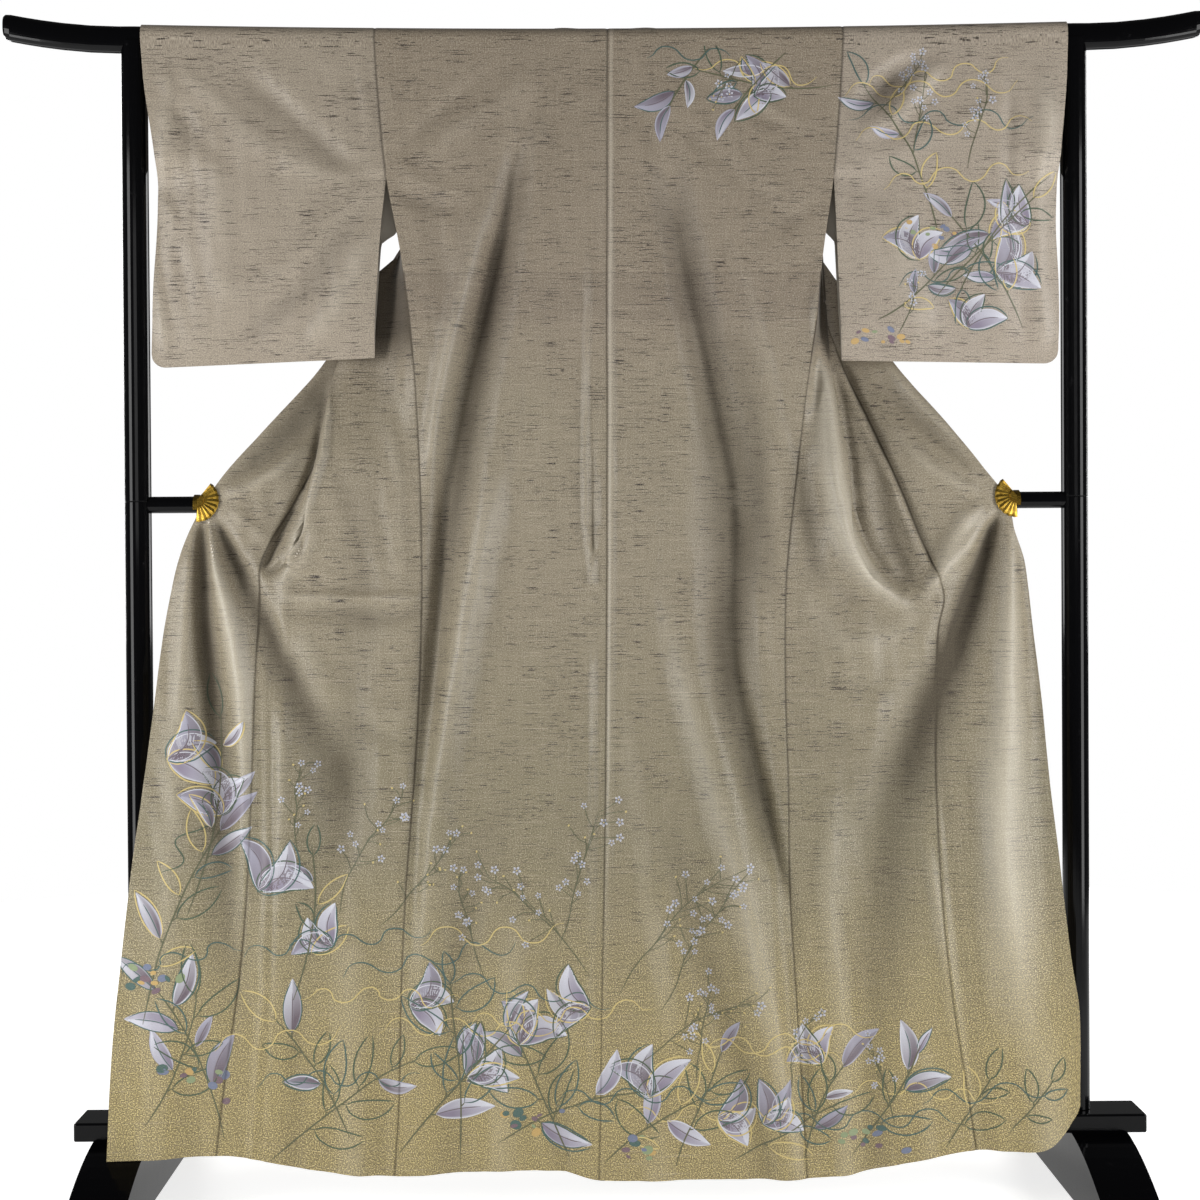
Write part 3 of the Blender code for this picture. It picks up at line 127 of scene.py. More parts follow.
BACK = Table("z centre side_left side_right centre_y side_y", """
    1670 4 331 343 -17 -17, 1600 3 327 339 -20.5 -19.5, 1475 2 315 328 -27 -25, 1360 1 294 311 -32 -31,
    1260 0 281 300 -36.5 -34.5, 1150 0 273 284 -40 -36.5, 1040 -1 268 271 -43 -38.5, 900 -2 266 255 -46 -42.5,
    750 -4 270 252 -49 -46, 600 -6 279 255 -53 -50.5, 450 -9 291 256 -59 -57, 300 -13 298 263 -67 -65,
    150 -16 301 271 -78 -76, 45 -19 307 275 -88 -87""")
FRONT = {
    LEFT: Table("z fold tuck edge y1 y2 y3 closed", """
        1670 225 165 90 17 17 17 0, 1600 250 180 150 20.5 23.5 26.5 400, 1475 302 205 235 20.5 27.5 34.5 1000,
        1440 294 216.6 252.7 19.6 26.8 34 1029.9, 1410 289 228.2 265.5 18.4 25.4 32.5 1003.5,
        1385 291 237.6 277.1 17.4 24.4 31.4 1000, 1366 302 244.8 286.2 16.5 23.5 30.5 1000,
        1346 324 252.2 295.3 15.4 22.4 29.4 1000, 1330 341 258 302 14.5 21.5 28.5 1000,
        1200 393 302 348 6 13 20 1000, 1130 407 340 390 -11 -5 1 1000, 1054 420 377 425 -29 -23.5 -18 1000,
        1004 429 388 452 -33 -26.5 -20 1000, 952 440 412 483 -36 -30 -24 1000, 915 480 468 498 -39 -35 -31 800,
        880 490 486 499 -40 -39 -38 0, 746 420 460 505 -46 -46 -43 0, 600 400 460 509 -51 -51 -50 0,
        453 400 460 516 -59 -59 -59 0, 300 410 470 529 -68 -68 -70 0, 150 420 480 546 -80 -80 -85 0,
        45 430 490 556 -92 -92 -98 0"""),
    RIGHT: Table("z fold tuck edge y1 y2 y3 closed", """
        1670 225 165 90 17 17 17 0, 1600 250 180 150 20.5 23.5 26.5 400, 1475 300 205 235 20.5 27.5 34.5 1000,
        1400 313 230 268 18 25 32 1000, 1330 318 246 298 14.5 21.5 28.5 1000, 1200 325 262 346 6 13 20 1000,
        1130 333 272 377 -11 -5 1 1000, 1054 345 290 409 -29 -23.5 -18 1000,
        1004 347 300 430 -35 -27.5 -20 1000, 952 347 308 450 -40 -31 -22 1000, 910 366 345 468 -43 -36 -29 900,
        865 415 405 481 -45 -42 -39 400, 820 400 430 473 -45 -44 -42 0, 746 370 420 471 -48 -48 -45 0,
        600 360 410 467 -51 -51 -50 0, 453 360 415 471 -59 -59 -59 0, 300 370 425 482 -68 -68 -70 0,
        150 380 440 500 -80 -80 -85 0, 45 390 450 513 -92 -92 -98 0"""),
}
OKUMI = Table("z left right y", """
    1448 254.5 252.5 34, 1330 330 335 27.5, 1200 418 423 18, 1120 487 488 -3, 1050 548 543 -19,
    1004 580 576 -20.2, 960 603 586 -21, 920 617 599 -23.5, 880 626 605 -26, 820 637 611 -30, 718 649 621 -40,
    600 664 630 -50, 478 680 642 -61, 334 694 653 -75, 200 703 661 -90, 45 708 658 -105""")
HEM = Table("x z", """
    -720 82, -620 84, -532 86, -438 68, -327 53, -154 60, -68 57, -19 45, 126 45, 284 45, 377 58, 501 84,
    592 83, 622 96, 652 135, 664 165""")
SLEEVE = Table("z inner_left inner_right outer_left outer_right y half_gap", """
    1670 331 343 666 667 0 17, 1600 327 339 660 664 -0.5 18.5, 1506 317 331 646 655 -4 18,
    1475 315 328 644 653 -5 16.5, 1400 323 331 646 650 -8 14.5, 1320 329 334 651 653 -10.5 12,
    1250 333 337 653 653 -12.5 8.5, 1200 334 339 654 652 -13 0.9""")
NECK = Table("out_x out_drop in_x in_drop", """
    0 1 0 60, 35 1 26 61, 68 2 46 64, 84.5 10 56 69, 87.5 26 63 78""")
COLLAR_FRONT = Table("z inset drop behind", """
    1640 38 36 3, 1600 46 36 4, 1540 49 36 6, 1475 50 36 8, 1400 51 36 8, 1330 52 36 7, 1260 52 38 6,
    1200 52 40 5, 1120 54 40 3, 1060 58 36 1, 1020 61 33 0.6, 990 63 28 6, 955 66 20 18, 920 68 12 22,
    885 70 6 24""")
SWAG = Table("z left right", """
    1350 0 0, 1250 2 3, 1130 9 10, 1050 13 16, 980 13 19, 930 9 19, 900 4 14, 870 0 6, 830 0 0""")
BACK_FOLDS = {
    LEFT: folds("""
        1600 105 0 20, 1549 119 6 18, 1391 153 16 18, 1245 192 21 18, 1148 216 22 18, 1005 238 18 16,
        804 250 18 17, 666 262 13 16, 459 280 4 14, 350 285 0 14; 1560 70 0 40, 1400 95 -8 40, 1200 135 -10 40,
        987 178 -15 30, 849 203 -17 28, 631 235 -14 28, 482 255 -8 30, 300 255 -4 35, 45 250 -3 35;
        1450 180 0 20, 1343 200 -8 20, 1102 246 -8 16, 980 255 0 16"""),
    RIGHT: folds("""
        1580 75 0 18, 1475 90 7 18, 1340 112 13 19, 1260 128 16 19, 1145 153 21 19, 1006 183 23 18,
        800 178 15 18, 685 198 16 18, 535 236 12 16, 443 250 4 14, 380 252 0 14; 1150 75 0 40, 961 100 -10 36,
        743 133 -18 34, 513 185 -20 32, 340 222 -16 28, 110 240 -10 26, 45 240 -8 26; 1250 175 0 24,
        1100 215 -10 22, 950 225 -9 18, 820 225 0 18"""),
}
FRONT_FOLDS = {
    LEFT: folds("""
        880 390 0 50, 700 400 6 40, 575 390 8 35, 400 380 3 40, 250 380 0 40; 800 460 0 30, 600 460 -6 30,
        350 450 -5 35, 45 450 -6 40"""),
    RIGHT: folds("""
        880 330 0 50, 800 345 -12 45, 700 330 -3 45, 600 320 0 45; 820 440 0 35, 648 418 12 35, 500 365 12 40,
        350 345 6 40, 200 345 0 40"""),
}
OKUMI_FOLDS = {
    LEFT: folds("""
        985 578 0 10, 944 580 8 11, 807 578 14 15, 669 560 10 20, 433 545 3 30, 300 540 0 30; 985 562 0 10,
        944 548 8 12, 900 528 9 14, 840 510 0 16; 990 568 0 9, 930 564 -6 10, 852 540 -10 14, 737 520 -8 18,
        600 515 0 20"""),
    RIGHT: folds("""
        985 563 0 10, 969 559 6 12, 877 528 14 18, 800 500 10 20, 740 485 0 20; 980 575 0 10, 900 580 -6 14,
        700 570 -12 26, 500 565 -10 32, 280 575 -6 36, 45 580 -3 40"""),
}
SLEEVE_FOLDS = {
    LEFT: folds("""
        1660 520 0 20, 1600 500 4 20, 1530 440 3 25, 1480 400 0 25; 1480 340 0 30, 1400 385 -5 30,
        1300 440 -4 35, 1220 520 0 35"""),
    RIGHT: folds("""
        1650 450 0 14, 1630 430 7 16, 1580 390 6 18, 1520 350 0 18; 1500 440 0 30, 1400 470 5 30, 1300 510 4 30,
        1220 560 0 30"""),
}


def fold_depth(kind, side, z, x):
    return sum(fold.push(z, x) for fold in kind[side])


def ease(value):
    value = np.clip(value, 0.0, 1.0)
    return value * value * (3.0 - 2.0 * value)


def stack(x, y, z):
    return np.stack(np.broadcast_arrays(x, y, z), axis=-1)


def side_name(side, stem=""):
    return stem + ("left" if side == LEFT else "right")


# ---------------------------------------------------------------- cloth sections, over the bar and below it
def hem_lift(x, z):
    return (HEM.read("z", x) - HEM_Z) * ease((HEM_Z + HEM_FADE - z) / HEM_FADE)


def bar_height(x):
    return BAR_Z - BAR_SAG * np.maximum(1.0 - (x / POST_X) ** 2, 0.0)


def squared(turn):
    power = 2.0 / BAR_SQUARENESS
    cosine, sine = np.cos(turn), np.sin(turn)
    return np.sign(cosine) * np.abs(cosine) ** power, np.sign(sine) * np.abs(sine) ** power


def bar_wrap(x, degrees, further=0.0):
    """Round the bar: 0 behind it (-Y), 90 on its ridge, 180 on the far side (+Y)."""
    across, up = squared(np.radians(degrees))
    away = BAR_FREE + further
    return stack(x, -(BAR_HALF_DEPTH + away) * across, bar_height(x) + (BAR_HALF_HEIGHT + away) * up)


def back_side(side, z):
    return BACK.read(side_name(side, "side_"), z)


def back_section(side, z, shares):
    centre = BACK.read("centre", z)
    x = centre + (side * back_side(side, z) - centre) * shares
    centre_y = BACK.read("centre_y", z)
    y = centre_y + (BACK.read("side_y", z) - centre_y) * shares * shares
    y = y + np.minimum(1.0, (1.0 - shares) / 0.10) * fold_depth(BACK_FOLDS, side, z, side * x)
    return stack(x, y, z + hem_lift(x, z))


def sleeve_front_y(z):
    return SLEEVE.read("y", z) + SLEEVE.read("half_gap", z)


def front_side_y(z):
    """y of the front's side edge: on the sleeve's far layer, then across the side opening to the back."""
    back_y = BACK.read("side_y", z)
    sewn_y = sleeve_front_y(z)
    share = (FAR_SEAM_Z - z) / (FAR_SEAM_Z - SIDE_OPENING_Z)
    between = sewn_y + (back_y - sewn_y) * ease(share)
    return np.where(z <= SIDE_OPENING_Z, back_y, np.where(z >= FAR_SEAM_Z, sewn_y, between))


def front_control(side, z):
    """Points along the front at heights z (n, 1): side seam, outer fold, inner tuck, okumi seam."""
    fold, tuck, edge, y1, y2, y3, closed = (
        FRONT[side].read(name, z) for name in ("fold", "tuck", "edge", "y1", "y2", "y3", "closed"))
    closed = np.clip(closed, 0.0, 1.0)
    swell_out = SWAG.read(side_name(side), z)
    y1, y2 = y1 - swell_out, y2 - 0.4 * swell_out
    start = back_side(side, z)
    start_y = front_side_y(z)
    r1, r2 = (y2 - y1) / 2, (y3 - y2) / 2
    early = np.array([0.25, 0.50, 0.75])
    late = np.array([0.40, 0.70])
    px = [start, start + (fold - start) * early, fold - r1, fold, fold - r1,
          tuck + r2, tuck, tuck + r2, tuck + (edge - tuck) * late, edge]
    py = [start_y, start_y + (y1 - start_y) * ease(early / 0.40), y1, y1 + r1, y2,
          y2, y2 + r2, y3, y3 + 0 * late, y3]
    px, py = np.concatenate(px, axis=1), np.concatenate(py, axis=1)
    share = np.linspace(0.0, 1.0, px.shape[1])
    flat_x = start + (edge - start) * share
    flat_y = start_y + (y3 - start_y) * ease(share)
    x = flat_x + (px - flat_x) * closed
    y = flat_y + (py - flat_y) * closed
    return x, y, closed


def smooth_resample(points, shares):
    """A rounded curve through a row of (x, y) points, read closer together where it bends, and how far
    along its length each point is."""
    ends = 2 * points[0] - points[1], 2 * points[-1] - points[-2]
    p = np.vstack([ends[0], points, ends[1]])
    steps = np.maximum(np.linalg.norm(np.diff(p, axis=0), axis=1), 1e-6) ** 0.5
    knots = np.concatenate([[0.0], np.cumsum(steps)])
    fine = []
    u = np.linspace(0.0, 1.0, 12, endpoint=False)[:, None]
    for i in range(1, len(p) - 2):
        t0, t1, t2, t3 = knots[i - 1:i + 3]
        t = t1 + (t2 - t1) * u
        a1 = (t1 - t) / (t1 - t0) * p[i - 1] + (t - t0) / (t1 - t0) * p[i]
        a2 = (t2 - t) / (t2 - t1) * p[i] + (t - t1) / (t2 - t1) * p[i + 1]
        a3 = (t3 - t) / (t3 - t2) * p[i + 1] + (t - t2) / (t3 - t2) * p[i + 2]
        b1 = (t2 - t) / (t2 - t0) * a1 + (t - t0) / (t2 - t0) * a2
        b2 = (t3 - t) / (t3 - t1) * a2 + (t - t1) / (t3 - t1) * a3
        fine.append((t2 - t) / (t2 - t1) * b1 + (t - t1) / (t2 - t1) * b2)
    fine = np.vstack(fine + [points[-1:]])
    run = np.diff(fine, axis=0)
    length = np.concatenate([[0.0], np.cumsum(np.linalg.norm(run, axis=1))])
    heading = np.unwrap(np.arctan2(run[:, 1], run[:, 0]))
    turned = np.concatenate([[0.0], np.cumsum(np.abs(np.diff(heading, prepend=heading[:1])))])
    measure = length + BEND_WEIGHT * turned
    where = shares * measure[-1]
    along = np.interp(where, measure, length)
    return np.stack([np.interp(along, length, fine[:, k]) for k in range(2)] + [along / length[-1]], axis=1)


def front_section(side, z, shares, with_share=False):
    """The front at heights z (n, 1), from the side seam to the okumi seam."""
    cx, cy, closed = front_control(side, z)
    rows = np.array([smooth_resample(np.stack([a, b], axis=1), shares) for a, b in zip(cx, cy)])
    x, y = rows[..., 0], rows[..., 1]
    still = np.minimum(1.0, np.minimum(shares * 8, (1.0 - shares) * 8))
    y = y + (1.0 - closed) * still * fold_depth(FRONT_FOLDS, side, z, x)
    points = stack(side * x, y, z + hem_lift(side * x, z))
    return (points, rows[..., 2]) if with_share else points


def okumi_section(side, z, shares):
    """The okumi at heights z (n, 1), from its seam to its free edge."""
    seam_x, seam_y = FRONT[side].read("edge", z), FRONT[side].read("y3", z)
    edge_x, edge_y = OKUMI.read(side_name(side), z), OKUMI.read("y", z)
    x = seam_x + (edge_x - seam_x) * shares
    y = seam_y + (edge_y - seam_y) * shares
    y = y + np.minimum(1.0, np.minimum(shares * 5, (1.0 - shares) * 8 + 0.3)) * fold_depth(OKUMI_FOLDS, side, z, x)
    return stack(side * x, y, z + hem_lift(side * x, z))


def sleeve_section(side, z, layer, shares):
    """One layer of a sleeve at heights z (n, 1), from its inner edge to its outer edge."""
    seam_z = FAR_SEAM_Z if layer > 0 else SLEEVE_SEAM_Z
    sewn_edge = z >= seam_z
    free = ease((seam_z - z) / 0.022) if layer > 0 else 1.0 - sewn_edge
    inner = back_side(side, z) * (1.0 - free) + SLEEVE.read(side_name(side, "inner_"), z) * free
    outer = SLEEVE.read(side_name(side, "outer_"), z)
    closed = ease((SLEEVE_MOUTH_Z - z) / 0.05)
    least = SHELL / 2 + SEAM_GAP / 2
    x = inner + (outer - inner) * shares
    pinch = 1.0 - closed * ease((shares - 0.72) / 0.28)
    y = SLEEVE.read("y", z) + layer * (least + (SLEEVE.read("half_gap", z) - least) * pinch)
    sewn_y = sleeve_front_y(z) if layer > 0 else BACK.read("side_y", z)
    sewn = sewn_edge * (1.0 - ease(shares / 0.30))
    y = y + (sewn_y - y) * sewn
    settle = np.minimum(1.0, (z - SLEEVE_BOTTOM_Z) / 0.04)
    y = y + (1.0 - sewn) * pinch * settle * 0.8 * fold_depth(SLEEVE_FOLDS, side, z, x)
    from_edge = np.clip(SLEEVE_CORNER - (outer - x), 0.0, SLEEVE_CORNER)
    arc = SLEEVE_CORNER - np.sqrt(SLEEVE_CORNER ** 2 - from_edge ** 2)
    rise = SLEEVE_RISE[side] * (1.0 - shares)
    return stack(side * x, y, z + arc * ease((SLEEVE_BOTTOM_Z + 0.07 - z) / 0.07)
                 + rise * ease((SLEEVE_BOTTOM_Z + 0.14 - z) / 0.14))


# Creases besides the folds: points of x, z, height towards -Y and half width, in mm.
BODY_CREASES = []
# Left back: deep trough, ridges on both sides
BODY_CREASES += creases("""
    -122 1562 0 16, -139 1462 -3 17, -159 1341 -6 19, -182 1226 -8 22, -211 1077 -9 25, -238 974 -8 24,
    -250 847 -6 19, -261 744 -6 17, -273 629 -5 14, -280 457 -3 12, -286 342 0 11; -151 1505 0 12,
    -185 1376 5 13, -222 1232 7 14, -248 1103 6 13, -260 1002 0 11; -154 1089 0 20, -174 974 7 20,
    -191 873 7 19, -228 715 6 19, -257 543 4 18, -263 357 3 22, -263 199 0 26; -108 1548 0 24, -128 1426 -8 26,
    -151 1332 -11 26, -174 1246 -12 26, -198 1146 -10 26, -211 1060 -9 26, -225 974 -9 25, -240 888 -8 22,
    -254 773 -7 18, -263 658 -4 14, -271 572 0 12; -240 1548 0 22, -254 1433 -4 26, -240 1347 -4 24,
    -222 1289 -1 20, -217 1246 0 18; -105 1599 0 14, -119 1525 -4 14, -138 1440 -9 14, -155 1361 -12 14,
    -171 1282 -15 14, -187 1211 -11 16, -199 1146 -10 17, -211 1074 -8 18, -221 1002 -6 19, -234 931 -3 18,
    -243 859 0 16; -110 1582 0 13, -123 1528 4 15, -139 1462 7 16, -154 1397 4 16, -161 1354 0 16; 76 1571 0 14,
    88 1505 3 16, 99 1440 6 17, 110 1383 3 17, 119 1344 0 17""")
# Right back
BODY_CREASES += creases("""
    70 1582 0 18, 88 1505 -4 18, 105 1433 -8 20, 126 1282 -11 22, 152 1146 -11 24, 174 1031 -10 27,
    178 931 -11 28, 168 802 -13 28, 177 715 -10 24, 197 629 -9 18, 217 543 -3 16, 225 486 0 14; 62 1505 0 24,
    93 1411 -8 26, 119 1304 -8 26, 142 1246 -7 26, 165 1160 -8 28, 191 1074 -9 28, 197 974 -9 28, 191 888 -8 26,
    171 802 -6 24, 165 730 -5 20, 174 658 0 16; 133 1160 0 32, 148 1074 -4 36, 159 988 -6 40, 172 902 -6 44,
    184 802 -5 46, 202 687 -4 44, 217 586 0 36; 165 1289 0 16, 191 1218 -7 15, 215 1099 -9 14, 228 949 -9 13,
    228 819 0 13; 188 658 0 14, 205 586 -6 15, 220 529 -5 15, 237 471 0 13; 99 1433 0 17, 113 1344 8 17,
    129 1261 12 18, 154 1146 15 18, 182 1007 17 18, 182 902 15 18, 181 800 12 16, 194 715 9 15, 211 629 6 14,
    225 572 0 14; -136 1476 0 16, -154 1390 9 17, -174 1304 13 17, -194 1218 15 17, -222 1089 13 17,
    -243 974 11 16, -251 859 8 16, -263 715 4 15, -271 601 0 14; 96 1562 0 18, 108 1462 -3 20, 119 1344 -6 23,
    139 1232 -8 23, 162 1100 -9 21, 182 985 -8 19, 181 873 -4 18, 185 744 -7 18, 208 615 -9 17, 237 500 -8 13,
    260 421 -4 9, 268 342 0 9; 62 916 0 20, 88 830 3 20, 110 730 7 17, 145 586 7 19, 185 457 10 18,
    205 357 12 17, 231 228 9 15, 260 98 7 14, 265 27 4 14; 156 1447 0 7, 197 1332 2 7, 231 1218 2.6 7,
    254 1089 2.2 7, 263 1002 0 7; 133 1505 0 7, 174 1347 -1.5 6, 208 1218 -2.2 7, 234 1103 -2 7, 254 1002 0 7;
    194 1361 0 6, 227 1203 1.6 6, 245 1089 1.6 5, 257 974 0 5; 191 945 0 12, 215 830 5 13, 228 687 3 13,
    237 601 0 11""")
# Upper diagonals
BODY_CREASES += creases("""
    -125 1657 0 9, -197 1599 -3.2 9, -254 1548 -3 9, -314 1496 0 8; -89 1648 0 12, -154 1582 2.4 12,
    -222 1533 2.4 12, -291 1476 0 12; 47 1651 0 9, 133 1608 -2.2 9, 220 1562 -2.6 9, 309 1510 0 8; 93 1654 0 10,
    168 1608 2.4 9, 248 1562 2.4 9, 314 1522 0 9; 47 1591 0 12, 133 1519 -2.2 12, 231 1433 -2 12, 311 1347 0 12;
    -67 1640 0 14, -96 1519 3 14, -119 1361 2 14, -125 1246 0 14; -311 1465 0 8, -280 1439 -4 10,
    -231 1427 -2.5 10, -182 1424 0 10; -314 1505 0 8, -268 1465 2.4 9, -211 1447 1.5 9, -168 1439 0 9;
    311 1447 0 10, 277 1411 -2.4 12, 231 1390 -1.5 12, 184 1381 0 12; -280 1361 0 9, -291 1289 3 9,
    -291 1175 3 9, -277 1103 0 9; -268 830 0 12, -197 802 1.5 14, -96 780 1 14, -24 773 0 14""")
# Beside the middle seam
BODY_CREASES += creases("""
    6 1657 0 5, 6 1548 3 5, 6 1117 3.5 5, 4 802 3.5 5, 1 572 3 5, -4 428 2.4 5, -10 285 2 5, -16 41 1.6 5;
    -30 1505 0 5, -27 1289 3.4 4.5, -32 1103 5.2 4.2, -32 974 5.4 4.2, -22 891 4.2 4, -16 870 0 4; -14 1175 0 3,
    -13 1089 2.6 3, -13 974 3 3, -22 899 3.2 3, -29 873 0 3; -24 1117 0 2.6, -22 1045 -2.2 3.2,
    -22 945 -2.4 3.2, -22 895 0 2.6; -30 892 0 3, -23 882 -2.6 3, -14 873 -2 3, -10 856 0 3; -34 873 0 3.5,
    -24 865 2.4 3.5, -13 853 0 3.5; -22 865 0 4.4, -22 744 4.2 4.4, -24 572 3.6 4.4, -27 314 2.8 4.4,
    -33 55 1.5 4.6; -59 543 0 3, -60 428 -1.4 2.8, -62 228 -1.5 2.8, -65 41 -1.5 2.8; -52 1002 0 5,
    -52 830 -0.9 5, -55 629 -0.9 5, -57 515 0 5""")
# Lower back, broad and soft
BODY_CREASES += creases("""
    -154 629 0 30, -188 486 -7 28, -208 400 -9 24, -222 271 -6 26, -225 141 -5 26, -228 27 -6 26; -125 486 0 24,
    -139 342 4 22, -154 199 5 22, -156 27 5 22; -85 400 0 18, -88 285 -7 18, -88 213 -8 18, -73 98 -5 18,
    -67 27 -5 16; 47 457 0 14, 62 385 5 14, 76 299 4 18, 90 199 0 18; 62 586 0 24, 99 486 -6 26, 125 385 -9 26,
    156 285 -10 26, 185 199 -9 24, 214 84 -8 20, 220 27 -8 18; 4 773 0 16, 27 629 3 18, 47 486 2 18,
    62 371 0 18; 59 170 0 20, 62 98 4 20, 65 27 6 22; 277 285 0 10, 273 228 -6 10, 277 127 -3 12, 286 27 -2 12""")
# Left wing: creases fanning from the clip
BODY_CREASES += creases("""
    -580 985 -4 5, -584 959 -10 7, -584 934 -11 9, -580 859 -10 12, -571 773 -13 15, -561 658 -13 18,
    -555 543 -11 22, -541 414 -8 26, -527 256 -4 28, -521 113 -3 28; -573 982 3 4, -570 959 7 5, -564 921 8 8,
    -547 845 8 12, -522 744 9 15, -518 629 9 14, -521 529 7 13, -521 428 3 14, -524 342 0 14; -565 987 -4 5,
    -554 959 -11 8, -540 934 -13 11, -515 885 -14 14, -491 830 -22 16, -466 773 -24 18, -438 715 -18 22,
    -400 641 -12 26, -377 543 -5 28, -366 428 0 28; -455 859 0 12, -423 787 3 15, -392 727 3 17, -354 664 0 18;
    -590 974 0 8, -604 873 5 12, -610 744 6 16, -616 601 5 20, -624 428 4 26, -636 228 2 30, -644 70 2 30;
    -590 314 0 24, -596 199 -4 24, -598 55 -6 24; -616 891 0 4, -577 885 -1.6 4, -538 883 -1.8 4, -501 888 0 4;
    -616 908 0 5, -577 902 1.4 5, -538 901 0 5; -441 979 0 8, -449 938 5 9, -461 902 5 9, -464 830 4 9,
    -464 715 4 8, -466 572 5 10, -469 457 2 10, -472 371 0 10; -397 802 0 22, -369 715 -3 26, -383 586 -6 26,
    -397 457 -4 28, -403 342 0 28""")
# Beside the left okumi seam
BODY_CREASES += creases("""
    -495 859 0 5, -492 773 1.6 5, -489 629 1.8 5, -488 486 1.8 5, -492 314 1.6 5, -501 170 1.4 5, -509 41 1.4 5;
    -484 773 0 4, -481 629 -1.6 4, -479 457 -1.8 4, -484 285 -1.4 4, -495 70 -1.2 4""")
# Level creases on the left front
BODY_CREASES += creases("""
    -489 856 0 5, -441 850 -5 7, -383 846 -7 9, -337 840 -8 12, -297 842 -7 10, -268 850 -4 7; -495 873 0 6,
    -426 870 5 7, -354 868 6 8, -277 868 4 7; -441 721 0 10, -383 698 -2.4 10, -331 672 -4.2 10,
    -294 661 -4.2 9, -271 672 -2 8; -415 744 0 10, -352 715 2.2 10, -297 698 2.4 9, -274 710 0 9; -383 916 0 10,
    -337 922 1.6 12, -283 916 1.4 12; -423 421 0 12, -376 393 -2.2 12, -326 377 -3 12, -291 385 0 12;
    -397 1045 0 16, -376 974 3 18, -366 902 2 18, -360 845 0 18; -320 1146 0 10, -303 1074 4 11, -294 974 3 11,
    -291 888 0 11; -326 1089 0 9, -329 1002 -3 10, -317 931 -2 10, -309 873 0 10""")
# Left okumi above the clip
BODY_CREASES += creases("""
    -564 1023 0 6, -530 1051 -8 9, -495 1077 -13 15, -455 1112 -15 20, -420 1152 -12 20, -395 1195 -6 16;
    -561 1014 0 6, -518 1025 5 9, -475 1051 6 11, -441 1080 4 12, -423 1100 0 12; -561 1002 0 6, -527 985 3 8,
    -495 957 3 9, -475 945 0 8""")
# Left lower front, broad
BODY_CREASES += creases("""
    -369 1089 0 30, -360 1002 -6 34, -354 916 -8 34, -357 830 -5 34, -366 744 -3 34, -369 629 -5 34,
    -369 515 0 30; -383 515 0 24, -375 371 5 24, -369 213 5 24, -360 41 6 24; -429 428 0 20, -441 285 -4 20,
    -446 141 -5 20, -452 41 -6 20; -314 428 0 16, -320 285 -3 18, -326 141 -5 18, -331 27 -6 18""")
# Right wing
BODY_CREASES += creases("""
    286 1246 0 20, 300 1146 5 22, 311 1045 8 22, 329 974 9 22, 352 916 8 20, 383 873 6 16, 415 850 0 12;
    375 1146 0 12, 383 1074 -5 14, 395 1002 -8 14, 406 945 -9 14, 426 899 -7 12, 449 870 0 10; 297 1332 0 7,
    300 1261 10 9, 307 1215 13 9.5, 316 1160 17 10.5, 319 1103 18 12, 323 1031 19 14, 331 981 19 15,
    346 938 18 16, 373 899 13 14, 413 859 7 11, 441 847 0 9; 326 1232 0 5, 343 1146 -6 6, 353 1060 -8 7,
    359 981 -8 8, 376 931 -7 8, 406 893 -5 8, 432 868 0 8; 277 1117 0 10, 286 1002 -7 14, 294 916 -8 14,
    294 859 0 12; 277 916 0 10, 294 853 3 17, 331 802 4 18, 377 799 4 18, 423 827 3 16, 452 865 0 10;
    286 934 0 10, 314 888 -5 12, 349 865 -6 12, 383 862 -3 11, 406 870 0 10; 271 773 0 12, 320 741 -3.5 13,
    375 738 -4 13, 420 767 0 12; 265 715 0 12, 320 692 2.2 12, 375 698 2.4 12, 415 715 0 12; 265 601 0 7,
    314 598 -2.4 8, 366 618 -2.4 8, 397 635 0 8; 268 578 0 8, 320 572 2.2 9, 366 586 1.6 9, 392 601 0 9;
    291 1109 0 12, 294 1002 -3 13, 286 916 -2 12, 277 859 0 12""")
# Right okumi: dark crease down from the clip
BODY_CREASES += creases("""
    567 985 -3 6, 555 959 -9 9, 548 928 -12 12, 527 870 -17 22, 499 796 -19 28, 469 730 -20 30, 435 647 -16 34,
    412 566 -13 38, 395 457 -11 38, 380 342 -9 34, 372 213 -8 28, 366 27 -8 26; 561 977 -3 6, 551 957 -10 8,
    532 888 -6 16, 504 807 -7 20, 472 715 -6 26, 438 629 -6 32, 420 543 0 32; 581 974 0 6, 578 913 4 9,
    570 802 4 15, 561 658 4 19, 552 515 4 22, 544 371 3 24, 541 228 0 26; 547 1000 0 8, 515 974 10 15,
    489 936 9 13, 466 888 4 10; 389 1235 0 8, 438 1166 7 9, 484 1112 6 9, 524 1063 4 8, 552 1028 0 6;
    550 985 0 6, 521 945 8 10, 492 913 9 12, 469 888 7 10, 452 868 3 8; 593 959 0 8, 607 830 -4 12,
    616 687 -5 16, 624 515 -4 20, 636 342 -3 22, 644 199 0 24; 446 572 0 10, 458 471 5 10, 466 400 7 10,
    478 314 4 10, 486 199 0 10; 521 715 0 16, 541 586 4 20, 564 428 5 22, 578 285 2 24, 581 170 0 24;
    469 629 0 6, 472 486 2.2 5, 484 342 2.2 5, 498 199 2 5, 509 55 2 5; 504 428 0 20, 509 285 -3 20,
    521 141 -5 20, 527 41 -6 20; 607 314 0 22, 613 184 4 22, 621 70 6 22; 564 314 0 22, 567 184 -4 22,
    575 41 -6 22""")
